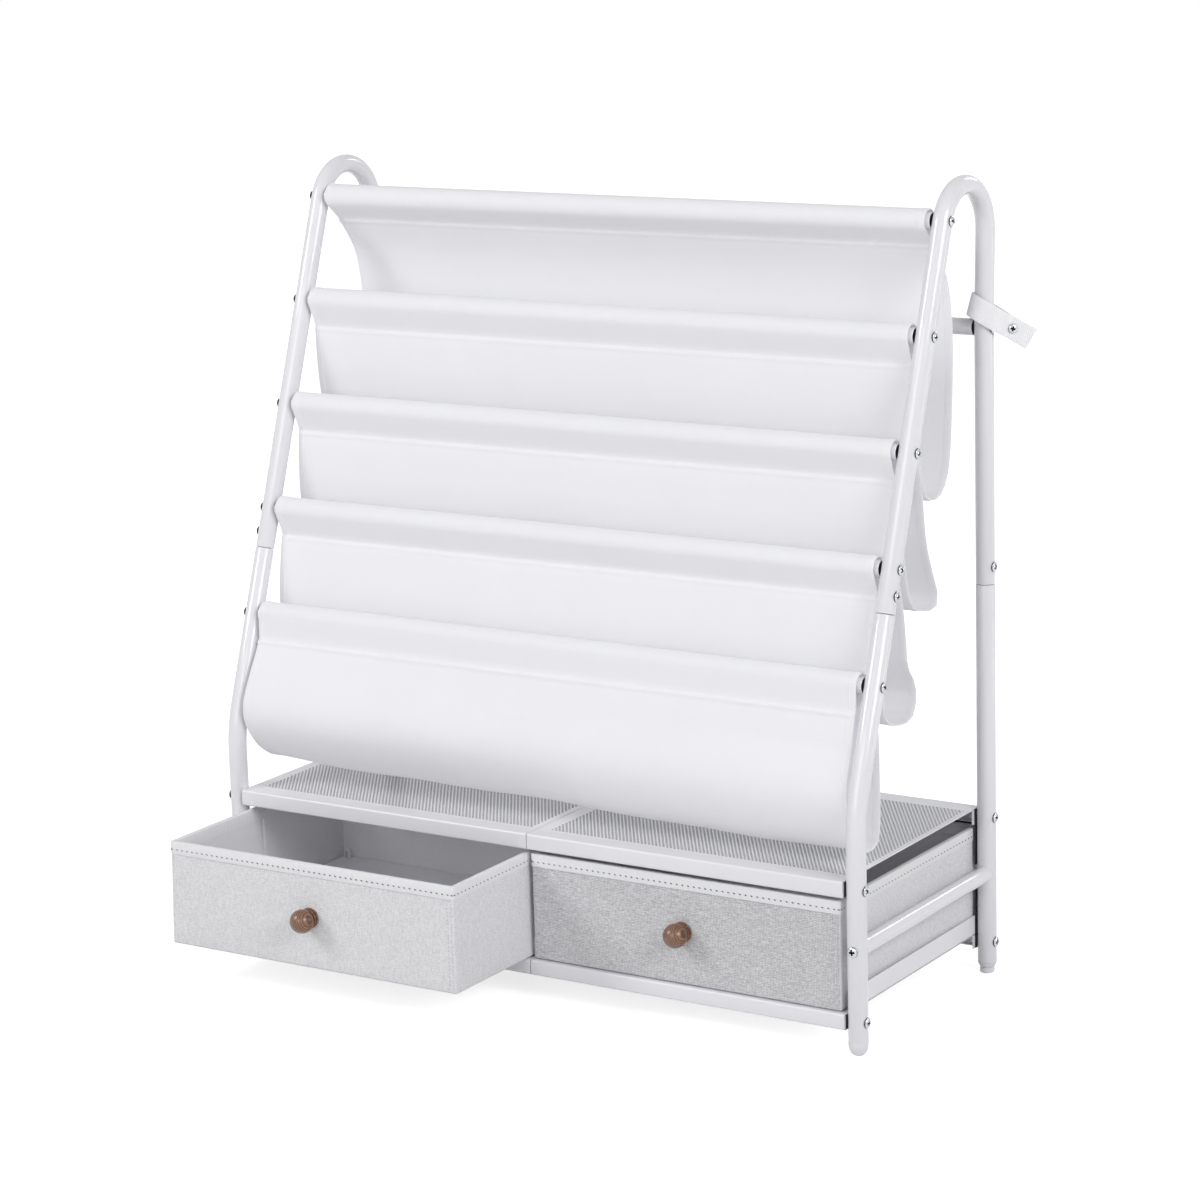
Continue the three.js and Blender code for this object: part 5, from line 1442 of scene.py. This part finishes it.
# %% The floor
floor_mesh = bpy.data.meshes.new("studio_floor")
corners = to_row([(across * FLOOR_HALF, back * FLOOR_HALF, -FLOOR_DROP)
                  for across, back in ((-1, -1), (1, -1), (1, 1), (-1, 1))])
floor_mesh.from_pydata(corners.tolist(), [], [(0, 1, 2, 3)])
floor = in_scene("studio_floor", floor_mesh)
paper, tree, shader = new_material("white_studio_paper", "#D9D9D9", 0.9, [("Specular IOR Level", 0.0)])
away = add_node(tree, "VectorMath", {0: add_node(tree, "TexCoord").outputs["Object"]}, operation="LENGTH")
lift = add_node(tree, "MapRange", {"Value": away.outputs["Value"], "From Min": GLOW_START,
                                   "From Max": GLOW_END,
                                  "To Min": GLOW_NEAR, "To Max": 1.0}, interpolation_type="SMOOTHSTEP")
shown = add_node(tree, "Math", {0: seen_directly(tree), 1: lift}, operation="MULTIPLY")
glow = add_node(tree, "Emission", {"Color": (1, 1, 1, 1), "Strength": shown})
surface = tree.nodes["Material Output"].inputs["Surface"]
add_node(tree, "AddShader", {0: shader.outputs[0], 1: glow}, surface)
floor_mesh.materials.append(paper)

# %% World and lamps
FILL = 0.29
scene = bpy.context.scene
scene.view_settings.view_transform = "Standard"
scene.world = bpy.data.worlds.new("white_studio")
scene.world.use_nodes = True
tree = scene.world.node_tree
sky = tree.nodes["Background"]
sky.inputs["Color"].default_value = (1, 1, 1, 1)
add_node(tree, "Math", {0: seen_directly(tree), 1: 1 - FILL, 2: FILL}, sky.inputs["Strength"],
         operation="MULTIPLY_ADD")


def lamp(name, place, target, size, energy):
    light = bpy.data.lights.new(name, "AREA")
    light.shape = "RECTANGLE"
    light.size, light.size_y = size[0] * MM, size[1] * MM
    light.energy = energy
    lamp_object = in_scene(name, light)
    start, end = Vector(to_row([place])[0]), Vector(to_row([target])[0])
    turn = (end - start).to_track_quat("-Z", "Y").to_matrix().to_4x4()
    lamp_object.matrix_world = Matrix.Translation(start) @ turn


lamp("key_softbox", (300, -3800, 1500), (0, 100, 450), (2200, 1700), 36)
lamp("side_softbox", (4600, -1600, 3000), (100, 100, 400), (2700, 2300), 138)
lamp("high_left_softbox", (-2300, -2300, 2400), (0, 100, 400), (1200, 1200), 50)
lamp("back_strip", (900, 3300, 2300), (300, 150, 300), (300, 1500), 16)
lamp("low_right_strip", (3100, 1900, 750), (400, 100, 600), (160, 1500), 8)
print("lamps:", len(bpy.data.lights))

# %% Camera
CAMERA_PLACE = (2131.634, -3165.718, 1316.454)
CAMERA_YAW, CAMERA_PITCH, CAMERA_ROLL = math.radians(32.6696), math.radians(12.6468), math.radians(-1.7011)
LENS, SENSOR = 105.486, 36.0
FAR = 50
level = np.array([math.cos(CAMERA_YAW), math.sin(CAMERA_YAW), 0])
level_ahead = np.array([-level[1], level[0], 0])
forward = level_ahead * math.cos(CAMERA_PITCH) - [0, 0, math.sin(CAMERA_PITCH)]
upward = np.cross(level, forward)
right_way = level * math.cos(CAMERA_ROLL) + upward * math.sin(CAMERA_ROLL)
up_way = upward * math.cos(CAMERA_ROLL) - level * math.sin(CAMERA_ROLL)
camera_data = bpy.data.cameras.new("photo_camera")
camera_data.sensor_fit = "HORIZONTAL"
camera_data.sensor_width = SENSOR
camera_data.lens = LENS
camera_data.clip_end = FAR
camera = in_scene("photo_camera", camera_data)
turn = Matrix(np.column_stack([right_way, up_way, -forward]).tolist()).to_4x4()
camera.matrix_world = Matrix.Translation(Vector(to_row([CAMERA_PLACE])[0])) @ turn
scene.camera = camera
print("camera at", CAMERA_PLACE, "mm, lens", LENS, "mm")

# %% [markdown]
# ## Faces
# The last line prints how many faces the pieces have, and in how many pieces.

# %% Count the faces
print("faces:", sum(made.values()), "in", len(made), "pieces")
